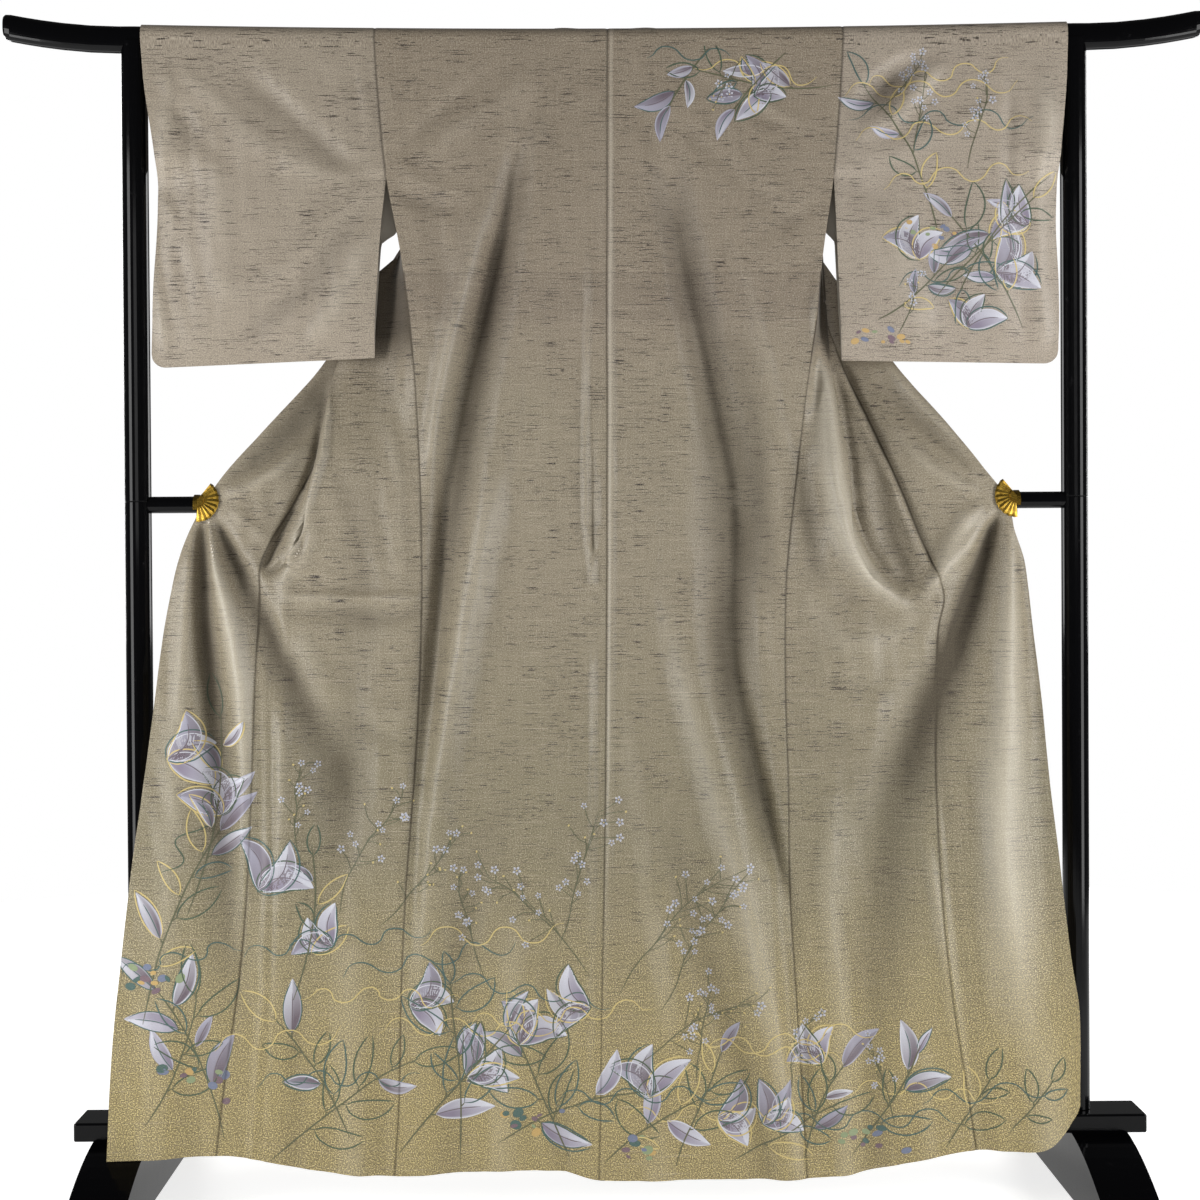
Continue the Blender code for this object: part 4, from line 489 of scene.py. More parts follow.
# Right okumi above the clip
BODY_CREASES += creases("""
    558 1025 0 6, 527 1057 -6 8, 484 1091 -8 10, 441 1132 -8 11, 406 1169 -5 12, 389 1198 0 12; 550 1014 0 6,
    504 1025 4 9, 458 1057 5 11, 426 1094 4 12, 406 1132 0 12""")
# Right lower front
BODY_CREASES += creases("""
    306 744 0 34, 320 658 -5 36, 329 572 -5 36, 337 486 0 36; 331 687 0 20, 317 572 5 20, 311 428 5 18,
    320 285 5 16, 329 141 7 18, 334 27 7 18; 406 156 0 14, 400 27 -3 16; 429 285 0 14, 438 199 4 14,
    446 27 4 16""")
# Fold ends, slits and pleats
BODY_CREASES += creases("""
    -426 974 0 5, -439 936 -5 6, -461 919 -7 6, -482 908 -6 5, -497 901 0 4; -415 1002 0 10, -423 945 4 10,
    -443 908 4 9, -469 891 2 8, -489 885 0 7; -409 1186 0 4, -412 1143 -7 5, -419 1074 -9 5, -443 1014 -14 5.5,
    -468 965 -19 5.5, -486 922 -15 5, -498 905 0 4; -402 1195 0 4, -399 1143 9 5, -406 1074 8 6, -426 1008 9 8,
    -445 959 12 10, -458 922 6 9, -469 896 0 6; 334 1223 -4 5, 352 1189 -9 5.5, 370 1143 -12 6, 389 1100 -10 6,
    428 1011 -8 5, 461 928 -6 5, 484 873 0 4; 340 1195 0 5, 375 1103 2.5 5, 415 1008 2.8 5, 449 922 2 5,
    475 870 0 4; 484 870 0 4, 474 802 -4 5, 472 715 -3 5, 475 572 -2 5, 489 428 -2 5, 504 285 0 5;
    -337 1671 0 6, -329 1591 -2.4 6, -320 1490 0 6; -303 1663 0 7, -309 1605 2.6 7, -313 1548 0 6;
    -415 1677 0 6, -409 1634 -2 7, -397 1582 0 8; -122 1671 0 8, -125 1619 2.4 9, -133 1548 0 10; -27 1671 0 6,
    -24 1605 1.8 7, -24 1505 0 7""")
SLEEVE_CREASES = {
    LEFT: creases("""
        -366 1677 0 6, -359 1605 -3.2 7, -349 1519 -1.5 7, -343 1467 0 6; -349 1677 0 6, -343 1591 3.6 7,
        -334 1519 2.5 6, -326 1465 0 5; -323 1467 0 14, -389 1505 -5 15, -458 1571 -6 15, -532 1645 0 14;
        -326 1462 0 14, -412 1479 2.6 16, -498 1519 2.6 16, -584 1571 0 16; -329 1453 0 14, -375 1393 -7 17,
        -429 1318 -7 18, -504 1255 -5 18, -561 1215 0 16; -334 1433 0 12, -360 1344 5 16, -403 1264 7 17,
        -441 1215 3 15; -630 1648 0 12, -624 1591 5 13, -630 1533 5 12, -633 1462 0 10; -601 1591 0 8,
        -598 1533 -4 9, -601 1462 0 9; -564 1562 0 14, -552 1447 4 18, -550 1347 3 18, -555 1261 0 16;
        -644 1361 0 8, -641 1275 5 9, -633 1218 3 9; -656 1634 0 12, -618 1571 -2.4 13, -561 1508 -2.2 14,
        -495 1467 0 14; -641 1663 0 12, -584 1605 2.4 13, -518 1548 2.2 14, -441 1505 0 14; -650 1462 0 9,
        -624 1419 2.6 10, -610 1344 -1.6 10, -598 1246 0 12; -641 1505 0 7, -647 1447 -2.2 7, -641 1361 -1.8 8,
        -630 1246 0 10; -415 1680 0 7, -409 1634 -2 8, -392 1571 0 10; -590 1332 0 14, -527 1310 2 16,
        -455 1344 2 16, -403 1404 0 14; -352 1668 0 6, -343 1591 2 6, -331 1505 0 6"""),
    RIGHT: creases("""
        466 1674 0 10, 438 1640 -13 15, 400 1599 -14 19, 366 1576 -8 16, 343 1562 -2 12; 501 1668 0 12,
        464 1611 7 14, 420 1559 6 15, 366 1528 2 12; 331 1476 0 14, 392 1439 -2.6 15, 464 1347 -3.2 16,
        544 1246 -2.4 16, 578 1209 0 14; 331 1456 0 14, 372 1390 2.8 15, 429 1289 3.2 16, 489 1209 1.5 16;
        331 1490 0 14, 420 1505 2.4 16, 521 1548 2.2 16, 621 1605 0 16; 627 1648 0 12, 636 1562 8 16,
        630 1462 6 16, 630 1347 4 16, 630 1246 5 16, 621 1203 0 12; 581 1634 0 8, 584 1562 -5 9, 581 1462 -3 9,
        575 1376 0 9; 392 1462 0 20, 409 1404 5 20, 449 1289 5 18, 466 1218 0 16; 343 1634 0 12, 343 1505 -4 14,
        352 1376 -2 12, 360 1289 0 12; 636 1548 0 7, 633 1462 -2.6 7, 636 1347 -2.2 8, 639 1246 0 8;
        449 1476 0 12, 472 1404 -2.2 13, 492 1330 -2.4 13, 504 1261 0 12; 392 1419 0 12, 438 1361 2.2 13,
        464 1289 2 13, 478 1232 0 12; 349 1289 0 10, 392 1261 2 11, 449 1225 1.6 11, 492 1215 0 11;
        507 1433 0 14, 550 1376 2.6 15, 570 1289 2.2 15, 587 1218 0 14"""),
}


# ---------------------------------------------------------------- relief laid on the sections
def crease_height(rows, x, z):
    """Height of one crease at (x, z): a soft ridge or trough along its line."""
    height = np.zeros(x.shape)
    reach = CREASE_REACH * rows[:, 3].max()
    near = ((x > rows[:, 0].min() - reach) & (x < rows[:, 0].max() + reach)
            & (z > rows[:, 1].min() - reach) & (z < rows[:, 1].max() + reach))
    px, pz = x[near], z[near]
    best, found = np.full(px.shape, np.inf), height[near]
    for a, b in zip(rows[:-1], rows[1:]):
        run = b[:2] - a[:2]
        t = np.clip(((px - a[0]) * run[0] + (pz - a[1]) * run[1]) / (run @ run), 0.0, 1.0)
        away = np.hypot(px - a[0] - t * run[0], pz - a[1] - t * run[1]) / (a[3] + (b[3] - a[3]) * t)
        closer = away < best
        best = np.where(closer, away, best)
        level = a[2] + (b[2] - a[2]) * ease(t)
        found = np.where(closer, level * np.exp(-away * away), found)
    height[near] = found
    return height


def swell(x, z, seed, count=26, size=(0.030, 0.130), stretch=3.2):
    """Slow, uneven waviness about 1 high: seeded waves, longer down the cloth than across it."""
    random = np.random.default_rng(seed)
    total = np.zeros(x.shape)
    for _ in range(count):
        length = random.uniform(*size)
        tilt = random.normal(0.0, 0.35)
        phase, twist = random.uniform(0.0, 2 * math.pi, 2)
        across = (x + tilt * z / stretch + 0.25 * length * np.sin(z / (length * stretch) + twist)) / length
        total += length / size[1] * np.sin(2 * math.pi * across + phase + z / (stretch * length) * 2.0)
    return total / math.sqrt(count)


def body_relief(x, z):
    """Height towards -Y for the back, the fronts, the okumi and the collar, by place as seen from -Y."""
    x, z = np.array(x, float), np.array(z, float)
    flat = np.nan_to_num(x), np.nan_to_num(z)
    height = sum(crease_height(rows, *flat) for rows in BODY_CREASES)
    height = height + 0.0011 * swell(*flat, 11) + 0.0005 * swell(*flat, 12, 30, (0.012, 0.040), 2.0)
    hold = ease((RELIEF_TOP - flat[1]) / 0.10)
    clip = np.hypot(np.abs(flat[0]) - CLIP_X, flat[1] - CROSSBAR_Z)
    return height * hold * ease((clip - 0.012) / 0.035)


def sleeve_relief(side, x, z):
    height = sum(crease_height(rows, x, z) for rows in SLEEVE_CREASES[side])
    height = height + 0.0009 * swell(x, z, 31 + side) + 0.0004 * swell(x, z, 41 + side, 30, (0.012, 0.040), 2.0)
    return height * ease((RELIEF_TOP - z) / 0.05) * ease((z - SLEEVE_BOTTOM_Z + 0.02) / 0.10)


# ---------------------------------------------------------------- panels
def edge_shares(width, spacing, fine=(0.0012, 0.0028, 0.0050)):
    """Shares across a panel, evenly spaced, with closer ones beside both edges."""
    near = np.array([0.0, *fine]) / width
    count = int(round((width - 2 * fine[-1]) / spacing))
    middle = np.linspace(near[-1], 1.0 - near[-1], count + 1)
    return np.concatenate([near[:-1], middle, 1.0 - near[:-1][::-1]])


def heights(top, bottom, spacing, dense=(0.0, 0.0), closer=1.0):
    """Heights from top to bottom: evenly spaced, closer just above the bottom and inside the dense band."""
    fine = bottom + np.array([0.0, 0.0012, 0.0030, 0.0055])
    probe = np.linspace(fine[-1], top, 4000)
    weight = np.where((probe > dense[0]) & (probe < dense[1]), closer, 1.0)
    measure = np.concatenate([[0.0], np.cumsum(weight[1:] * (probe[1] - probe[0]))])
    count = int(round(measure[-1] / spacing))
    even = np.interp(np.linspace(0.0, measure[-1], count + 1), measure, probe)
    return np.concatenate([fine[:-1], even])[::-1][:, None]


def pressed(points, relief):
    """Points moved towards -Y by their relief, kept in front of the crossbar where it passes behind."""
    moved = points.copy()
    moved[..., 1] -= np.where(relief < 0.0, DEEPEST * np.tanh(relief / DEEPEST), relief)
    before = (points[..., 1] < CROSSBAR_FRONT) & (points[..., 2] < 1.30)
    limit = CROSSBAR_FRONT + 1.3 * np.maximum(np.abs(points[..., 2] - CROSSBAR_Z) - 0.011, 0.0)
    soft = limit - 0.002 * np.logaddexp(0.0, (limit - moved[..., 1]) / 0.002)
    moved[..., 1] = np.where(before, np.minimum(soft, moved[..., 1]), moved[..., 1])
    return moved


class Panel:
    """A grid of points on one piece of cloth, with each point's place on the flat cloth in metres."""

    def __init__(self, name, grid, u, v, fall, outward):
        self.name = name
        self.grid = grid
        self.u, self.v, self.fall = (np.broadcast_to(a, grid.shape[:2]).copy() for a in (u, v, fall))
        self.outward = outward
        self.missing = np.isnan(grid[..., 0])
        # painted light of each point: below 0 painted shade, above 0 painted highlight
        self.tone = np.zeros(grid.shape[:2])
        self.lot = 0.0

    def normals(self):
        def difference(axis):
            padded = np.full([n + 2 * (a == axis) for a, n in enumerate(self.grid.shape[:2])] + [3], np.nan)
            middle = [slice(1, -1) if a == axis else slice(None) for a in range(2)]
            padded[tuple(middle)] = self.grid
            ahead = np.roll(padded, -1, axis)[tuple(middle)]
            behind = np.roll(padded, 1, axis)[tuple(middle)]
            ahead = np.where(np.isnan(ahead), self.grid, ahead)
            behind = np.where(np.isnan(behind), self.grid, behind)
            return ahead - behind

        normal = np.cross(difference(1), difference(0)) * self.outward
        length = np.linalg.norm(normal, axis=-1, keepdims=True)
        return normal / np.maximum(length, 1e-12)

    def sew(self, tone, dip):
        """Draws the cloth inward at its seams and paints shade into them, over the given painted light."""
        self.grid = self.grid - self.normals() * dip[..., None]
        self.tone = tone - SEAM_SHADE_PAINT * dip / SEAM_DEEP

    def hang(self, z):
        """Notes which rows hang on the bar's near side and which on its far side, and their heights."""
        self.heights = z
        self.back_rows = np.arange(len(z))
        self.front_rows = len(z) + len(TURNS) + np.arange(len(z))


def seam_dip(away):
    return SEAM_DEEP * np.exp(-(away / SEAM_WIDE) ** 2)


def cloth_run(above, length):
    """Length along the cloth: up to the bar, over it, and down to the far end."""
    round_bar = (length - BAR_RUN) / 2 + BAR_RUN * TURNS[:, 0] / 180.0
    return np.concatenate([above, round_bar, length - above[::-1]])[:, None]


def body_panel(side):
    """A body strip: rows from the back hem over the bar to the front hem, columns from centre to side."""
    neck = NECK_HALF_WIDTH / SHOULDER_X
    inner = edge_shares(NECK_HALF_WIDTH, 0.0045)
    outer = edge_shares(SHOULDER_X - NECK_HALF_WIDTH, 0.0036)
    shares = np.concatenate([inner[:-1] * neck, neck + outer * (1.0 - neck)])
    first = len(inner) - 1
    z = heights(BACK_TOP, HEM_Z, 0.0084, dense=(0.86, 1.10), closer=2.2)
    back = back_section(side, z, shares)
    front, front_share = front_section(side, z, 1.0 - outer, True)
    back_x = back_section(side, np.array([[BAR_Z]]), shares)[..., 0]
    front_x = front_section(side, np.array([[BAR_Z]]), 1.0 - outer)[..., 0]
    wrap_x = np.repeat(back_x, len(TURNS), axis=0)
    wrap_x[:, first:] = back_x[:, first:] + (front_x - back_x[:, first:]) * TURNS / 180.0
    wrap = bar_wrap(wrap_x, TURNS)
    wrap[TURNS[:, 0] > 90.0, :first] = np.nan
    gap = np.full((len(z), first, 3), np.nan)
    grid = np.concatenate([back[::-1], wrap, np.concatenate([gap, front], axis=1)])
    v = cloth_run(z[::-1, 0] - HEM_Z, STRIP_LENGTH)
    fall = np.minimum(v, STRIP_LENGTH - v)
    relief = body_relief(grid[..., 0], grid[..., 2])
    grid = pressed(grid, relief)
    u = np.broadcast_to(shares * STRIP_WIDTH, grid.shape[:2]).copy()
    u[len(z) + len(TURNS):, first:] = STRIP_WIDTH - front_share * (STRIP_WIDTH - NECK_HALF_WIDTH)
    panel = Panel(side_name(side, "body_"), grid, u, v, fall, side)
    panel.hang(z)
    panel.first_front = first
    row = np.arange(len(grid))[:, None]
    on_back = row < len(z) + WRAP_STEPS // 2
    sewn_side = np.abs(fall - SIDE_OPENING_FALL) >= SIDE_OPENING_HALF
    dip = seam_dip(STRIP_WIDTH - u) * sewn_side + seam_dip(u) * on_back
    dip = dip + seam_dip(u - NECK_HALF_WIDTH) * (row >= panel.front_rows[0])
    # painted shade in crease troughs and painted highlight on ridges, by their depth, and painted shade at the
    # seams
    panel.sew(relief / FOLD_SHADE_DEPTH, np.where(panel.missing, 0.0, dip))
    slit_shadow = ease((0.50 - front_share) / 0.12) * ease((z - 1.18) / 0.08)      # painted shadow on the front's outer part, seen through the side slit; it is on both skins
    panel.tone[panel.front_rows, first:] -= 0.95 * slit_shadow
    if side == RIGHT:       # painted highlight on the lit edge of the middle seam
        panel.tone += 0.42 * np.exp(-((u - 0.0052) / 0.0022) ** 2) * on_back * ease((v - 0.25) / 0.45)
    panel.lot = 1.0 + side
    return panel


def okumi_panel(side):
    shares = edge_shares(OKUMI_WIDTH, 0.0040)[::-1]
    z = heights(OKUMI_TOP_Z, HEM_Z, 0.0076, dense=(0.86, 1.06), closer=1.6)
    grid = okumi_section(side, z, shares)
    relief = body_relief(grid[..., 0], grid[..., 2])
    # painted light: shade in fold and crease troughs, highlight on ridges, painted shade at the seams
    tone = (relief - fold_depth(OKUMI_FOLDS, side, z, side * grid[..., 0])) / FOLD_SHADE_DEPTH
    grid = pressed(grid, relief)
    panel = Panel(side_name(side, "okumi_"), grid, 0.5 + shares * OKUMI_WIDTH, 3.3 - (z - HEM_Z), z - HEM_Z, side)
    panel.heights = z
    panel.sew(tone, seam_dip(shares * OKUMI_WIDTH)[None, :] + 0.0 * z)
    panel.lot = 5.0 + side
    return panel


def sleeve_panel(side):
    """A sleeve: rows from the bottom of its near layer over the bar to the bottom of its far layer."""
    shares = edge_shares(0.330, 0.0042)
    z = heights(BACK_TOP, SLEEVE_BOTTOM_Z, 0.0060)
    near = sleeve_section(side, z, -1, shares)[::-1]
    far = sleeve_section(side, z, 1, shares)
    top = sleeve_section(side, np.array([[BAR_Z]]), 1, shares)[..., 0]
    grid = np.concatenate([near, bar_wrap(np.repeat(top, len(TURNS), axis=0), TURNS), far])
    x, height = grid[..., 0], grid[..., 2]
    joined = (1.0 - ease(shares / 0.14))[None, :] * ease((height - 1.43) / 0.045)
    relief = sleeve_relief(side, x, height) * (1.0 - joined) + body_relief(x, height) * joined
    grid[..., 1] -= relief
    v = cloth_run(z[::-1, 0] - SLEEVE_BOTTOM_Z, SLEEVE_LENGTH)
    panel = Panel(side_name(side, "sleeve_"), grid, 0.8 + shares * SLEEVE_WIDTH, v + 0.4, 1.15, side)
    panel.hang(z)
    # painted shade in crease troughs and painted highlight on ridges, painted shade at the sewn top
    panel.sew(relief / FOLD_SHADE_DEPTH, seam_dip(shares * SLEEVE_WIDTH)[None, :] * (height > SLEEVE_SEAM_Z))
    # painted shade on the far layer beside the armhole
    armhole_shade = (1.0 - ease(shares / 0.14))[None, :] * ease((1.49 - z) / 0.03) * ease((z - 1.33) / 0.04)
    panel.tone[panel.front_rows] -= 0.7 * armhole_shade
    panel.lot = 9.0 + side
    return panel


def collar_front_rows(side):
    """Control rows of the collar down one front: from the sewn edge to the free edge."""
    rows = []
    for k, z in enumerate(COLLAR_FRONT.keys):
        at = np.array([[z]])
        if z <= OKUMI_TOP_Z:
            edge = okumi_section(side, at, np.array([1.0]))[0, 0]
        else:
            edge = front_section(side, at, np.array([0.0, 1.0]))[0, 1]
        inset, drop, behind = (COLLAR_FRONT.columns[name][k] for name in ("inset", "drop", "behind"))
        sewn = np.array([edge[0], edge[1] + COLLAR_BEHIND, z])
        free = sewn + np.array([-side * inset, behind, -drop])
        rows.append(sewn + (free - sewn) * COLLAR_SHARES[:, None])
    return rows


def collar_neck_row(side, k):
    """Control points over the bar's ridge and down its far side, just outside the body cloth."""
    out_x, out_drop, in_x, in_drop = (NECK.columns[n][k] for n in ("out_x", "out_drop", "in_x", "in_drop"))
    quarter = math.pi / 4 * (BAR_HALF_DEPTH + BAR_HALF_HEIGHT)
    points = []
    for share in COLLAR_SHARES:
        x = out_x + (in_x - out_x) * share
        drop = out_drop + (in_drop - out_drop) * share
        further = COLLAR_BEHIND * float(ease(x / NECK_HALF_WIDTH))
        past = max(drop - quarter, 0.0)
        turn = 90.0 + 90.0 * min(drop / quarter, 1.0)
        points.append(bar_wrap(side * x, turn, further) + np.array([0.0, 0.08 * past, -past]))
    return np.array(points)


def refine(rows, count):
    """Control rows made into an evenly spaced run of rows."""
    rows = np.array(rows)
    flat = rows.reshape(len(rows), -1)
    steps = np.linalg.norm(np.diff(rows, axis=0), axis=2).mean(axis=1)
    place = np.concatenate([[0.0], np.cumsum(steps)])
    table = Table(" ".join(["s"] + [f"c{n}" for n in range(flat.shape[1])]), np.column_stack([place, flat]))
    where = np.linspace(0.0, place[-1], count)
    fine = np.stack([table.read(f"c{n}", where) for n in range(flat.shape[1])], axis=1)
    return fine.reshape(count, rows.shape[1], 3), where


def collar_panel():
    """The collar: rows from its left end up the left front, round the neck and down to its right end."""
    left = collar_front_rows(LEFT) + [collar_neck_row(LEFT, k) for k in range(len(NECK.keys) - 1, -1, -1)]
    right = [collar_neck_row(RIGHT, k) for k in range(1, len(NECK.keys))] + collar_front_rows(RIGHT)[::-1]
    rows, along = refine(left + right, 440)
    shares = edge_shares(COLLAR_WIDTH, 0.0040)
    fine = np.stack([[np.interp(shares, COLLAR_SHARES, row[:, k]) for row in rows] for k in range(3)], axis=-1)
    fine = pressed(fine, body_relief(fine[..., 0], fine[..., 2]))
    return Panel("collar", fine, 1.3 + shares * COLLAR_WIDTH, along[:, None] + 3.7, fine[:, :1, 2] - HEM_Z, 1)


# ---------------------------------------------------------------- meshes from grids
def corner_ids(present):
    ids = np.full(present.shape, -1)
    ids[present] = np.arange(present.sum())
    return ids


def quads_of(ids):
    corners = np.stack([ids[:-1, :-1], ids[1:, :-1], ids[1:, 1:], ids[:-1, 1:]], axis=-1).reshape(-1, 4)
    return corners[(corners >= 0).all(axis=1)]


def place_in_scene(name, data):
    made = bpy.data.objects.new(name, data)
    bpy.context.scene.collection.objects.link(made)
    return made


def make_mesh(name, points, faces, uv, values, materials, face_material=None, colours=None):
    """A mesh with one UV map of cloth places and float attributes."""
    data = bpy.data.meshes.new(name)
    data.from_pydata(points, [], faces)
    loops = np.empty(len(data.loops), int)
    data.loops.foreach_get("vertex_index", loops)
    data.uv_layers.new(name="cloth").data.foreach_set("uv", uv[loops].astype(np.float32).ravel())
    for key, value in values.items():
        data.attributes.new(key, "FLOAT", "POINT").data.foreach_set("value", value.astype(np.float32))
    if colours is not None:
        dye = data.attributes.new("dye", "FLOAT_COLOR", "POINT")
        dye.data.foreach_set("color", colours.astype(np.float32).ravel())
    for finish in materials:
        data.materials.append(finish)
    if face_material is not None:
        data.polygons.foreach_set("material_index", face_material)
    data.shade_smooth()
    data.validate()
    return place_in_scene(name, data)


def shell(panel, wall, outer_finish, inner_finish):
    """The panel as cloth with a wall: an outer skin, an inner skin and a rim along every open edge."""
    present = ~panel.missing
    ids = corner_ids(present)
    count = int(present.sum())
    normals = panel.normals()
    skins = [(panel.grid + way * normals * wall / 2)[present] for way in (1, -1)]
    quads = quads_of(ids)
    if panel.outward < 0:
        quads = quads[:, ::-1]
    edges = np.concatenate([quads[:, [k, (k + 1) % 4]] for k in range(4)])
    known = {(a, b) for a, b in edges.tolist()}
    rim = [(a, b) for a, b in edges.tolist() if (b, a) not in known]
    faces = quads.tolist() + (quads[:, ::-1] + count).tolist()
    faces += [(b, a, a + count, b + count) for a, b in rim]
    index = [0] * len(quads) + [1] * len(quads) + [0] * len(rim)
    uv = np.tile(np.stack([panel.u[present], panel.v[present]], axis=1), (2, 1))
    values = {"fall": np.tile(panel.fall[present], 2), "tone": np.tile(np.clip(panel.tone[present], -1, 1), 2),
              "lot": np.full(2 * count, panel.lot)}
    made = make_mesh("silk_" + panel.name, np.concatenate(skins).tolist(), faces, uv, values,
                     [outer_finish, inner_finish], index)
    made.data.set_sharp_from_angle(angle=math.radians(50))
    return made


# ---------------------------------------------------------------- the painted design, as thin dyed patches
LAVENDER, PALE, WHITE = (0.190, 0.165, 0.230), (0.35, 0.35, 0.43), (0.55, 0.56, 0.62)
MAUVE, GREEN, TEAL = (0.105, 0.080, 0.105), (0.036, 0.072, 0.042), (0.030, 0.088, 0.084)
GOLD, STEM, BLUE = (0.52, 0.41, 0.16), (0.078, 0.085, 0.042), (0.12, 0.15, 0.24)
OCHRE, PLUM, SAGE = (0.44, 0.29, 0.10), (0.13, 0.08, 0.11), (0.20, 0.26, 0.14)
STREAM_DYES = (TEAL, GOLD, GREEN)
LEAF_DYES = ((LAVENDER, WHITE), (MAUVE, PALE), (MAUVE, WHITE))
SPACING = 0.0026            # between the points along a line, and across a leaf
LEAF_LIFT, LINE_LIFT, PETAL_LIFT, PEBBLE_LIFT, HEART_LIFT = 0.00022, 0.00036, 0.0004, 0.00045, 0.0005
LINE_COVER, LEAF_COVER, PEBBLE_COVER = 0.92, 0.95, 0.9
LINE_FADE = 0.15            # the share of a line at each end where it thins
LEAF_LEAN = 0.10            # how far a leaf's sides run on past its mid line, as a share of its width
PEBBLE_SIDES = 10
STREAM_STEP = 0.012

# A flat shape in (x, z): points, faces, and a dye with its coverage at each point.
Patch = namedtuple("Patch", "points faces colours lift")


def toward(angle):
    return np.array([math.cos(angle), math.sin(angle)])


def smooth_line(points):
    points = np.array(points, float)
    place = np.concatenate([[0.0], np.cumsum(np.linalg.norm(np.diff(points, axis=0), axis=1))])
    table = Table("s x z", np.column_stack([place, points]))
    where = np.linspace(0.0, place[-1], max(int(place[-1] / SPACING), 3) + 1)
    return np.stack([table.read("x", where), table.read("z", where)], axis=1)


def normals_of(line):
    run = np.gradient(line, axis=0)
    run /= np.maximum(np.linalg.norm(run, axis=1, keepdims=True), 1e-9)
    return np.stack([-run[:, 1], run[:, 0]], axis=1)


def strip_faces(rows, columns):
    return quads_of(np.arange(rows * columns).reshape(rows, columns))


def ribbon(points, width, colour):
    line = smooth_line(points)
    t = np.linspace(0.0, 1.0, len(line))
    half = width / 2 * (0.35 + 0.65 * ease(np.minimum(t, 1 - t) / LINE_FADE))
    side = normals_of(line) * half[:, None]
    grid = np.stack([line - side, line + side], axis=1).reshape(-1, 2)
    return Patch(grid, strip_faces(len(line), 2), np.tile([*colour, LINE_COVER], (len(grid), 1)), LINE_LIFT)


def leaf_frame(base, tip, width, bend):
    """A leaf's bowed mid line, the place along it, its half width there and the lean of its sides."""
    base, tip = np.array(base, float), np.array(tip, float)
    run = tip - base
    t = np.linspace(0.0, 1.0, 7)[:, None]
    bow = np.array([-run[1], run[0]]) * bend * np.sin(math.pi * t) * (1 - 0.25 * t)
    line = smooth_line(base + run * t + bow)
    t = np.linspace(0.0, 1.0, len(line))
    half = width / 2 * np.sin(math.pi * t ** 0.80) ** 0.85
    along = line[-1] - line[0]
    return line, t, half, LEAF_LEAN * width * along / np.linalg.norm(along)


def leaf(base, tip, width, bend, dyes):
    """A pointed leaf shaded from one dye to the other, its two halves in different strengths."""
    line, t, half, lean = leaf_frame(base, tip, width, bend)
    columns = max(int(width / SPACING), 4) // 2 * 2 + 1
    s = np.linspace(-1.0, 1.0, columns)
    grid = line[:, None, :] + normals_of(line)[:, None, :] * (half[:, None] * s)[..., None]
    grid = grid + (s * s)[None, :, None] * lean
    first, second = (np.array(d) for d in dyes)
    strength = np.clip(0.75 * t[:, None] ** 1.1 + 0.45 * ease((s[None, :] + 0.25) / 0.5) - 0.18, 0.0, 1.0)
    strength = np.maximum(strength, ease((np.abs(s)[None, :] - 0.78) / 0.22) * 0.7)
    colour = first + (second - first) * strength[..., None]
    dye = np.concatenate([colour, np.full(colour.shape[:2] + (1,), LEAF_COVER)], axis=2)
    return Patch(grid.reshape(-1, 2), strip_faces(len(line), columns), dye.reshape(-1, 4), LEAF_LIFT)


def leaf_lines(base, tip, width, bend, colour, line_width=0.0019, vein=None):
    """A leaf's outline, and its mid vein where a dye is given for it."""
    line, t, half, lean = leaf_frame(base, tip, width, bend)
    side = normals_of(line) * half[:, None]
    step = max(len(line) // 9, 1)
    edges = [line + s * side + lean * np.sin(math.pi * t)[:, None] for s in (-1, 1)]
    lines = [ribbon(edge[::step], line_width, colour) for edge in edges]
    if vein is not None:
        lines.append(ribbon(line[:int(len(line) * 0.86):step], 0.0013, vein))
    return lines


def pebble(centre, long, short, turn, colour, lift=PEBBLE_LIFT):
    angle = np.linspace(0.0, 2 * math.pi, PEBBLE_SIDES, endpoint=False)
    ring = np.stack([long * np.cos(angle), short * np.sin(angle)], axis=1)
    spin = np.array([[math.cos(turn), math.sin(turn)], [-math.sin(turn), math.cos(turn)]])
    points = np.concatenate([[centre], np.array(centre) + ring @ spin])
    faces = [(0, 1 + k, 1 + (k + 1) % PEBBLE_SIDES) for k in range(PEBBLE_SIDES)]
    return Patch(points, faces, np.tile([*colour, PEBBLE_COVER], (PEBBLE_SIDES + 1, 1)), lift)


def blossom(centre, radius, turn):
    """A small flat blossom: five narrow petals round a dot."""
    parts = []
    for k in range(5):
        out = toward(turn + 2 * math.pi * k / 5)
        wide = np.array([-out[1], out[0]]) * radius * 0.27
        middle = centre + out * radius * 0.6
        points = np.array([centre + out * radius * 0.12, middle - wide, centre + out * radius, middle + wide])
        parts.append(Patch(points, [(0, 1, 2, 3)], np.array([[*BLUE, 0.8]] + [[*WHITE, 0.95]] * 3), PETAL_LIFT))
    return parts + [pebble(centre, radius * 0.16, radius * 0.16, 0.0, GOLD, HEART_LIFT)]


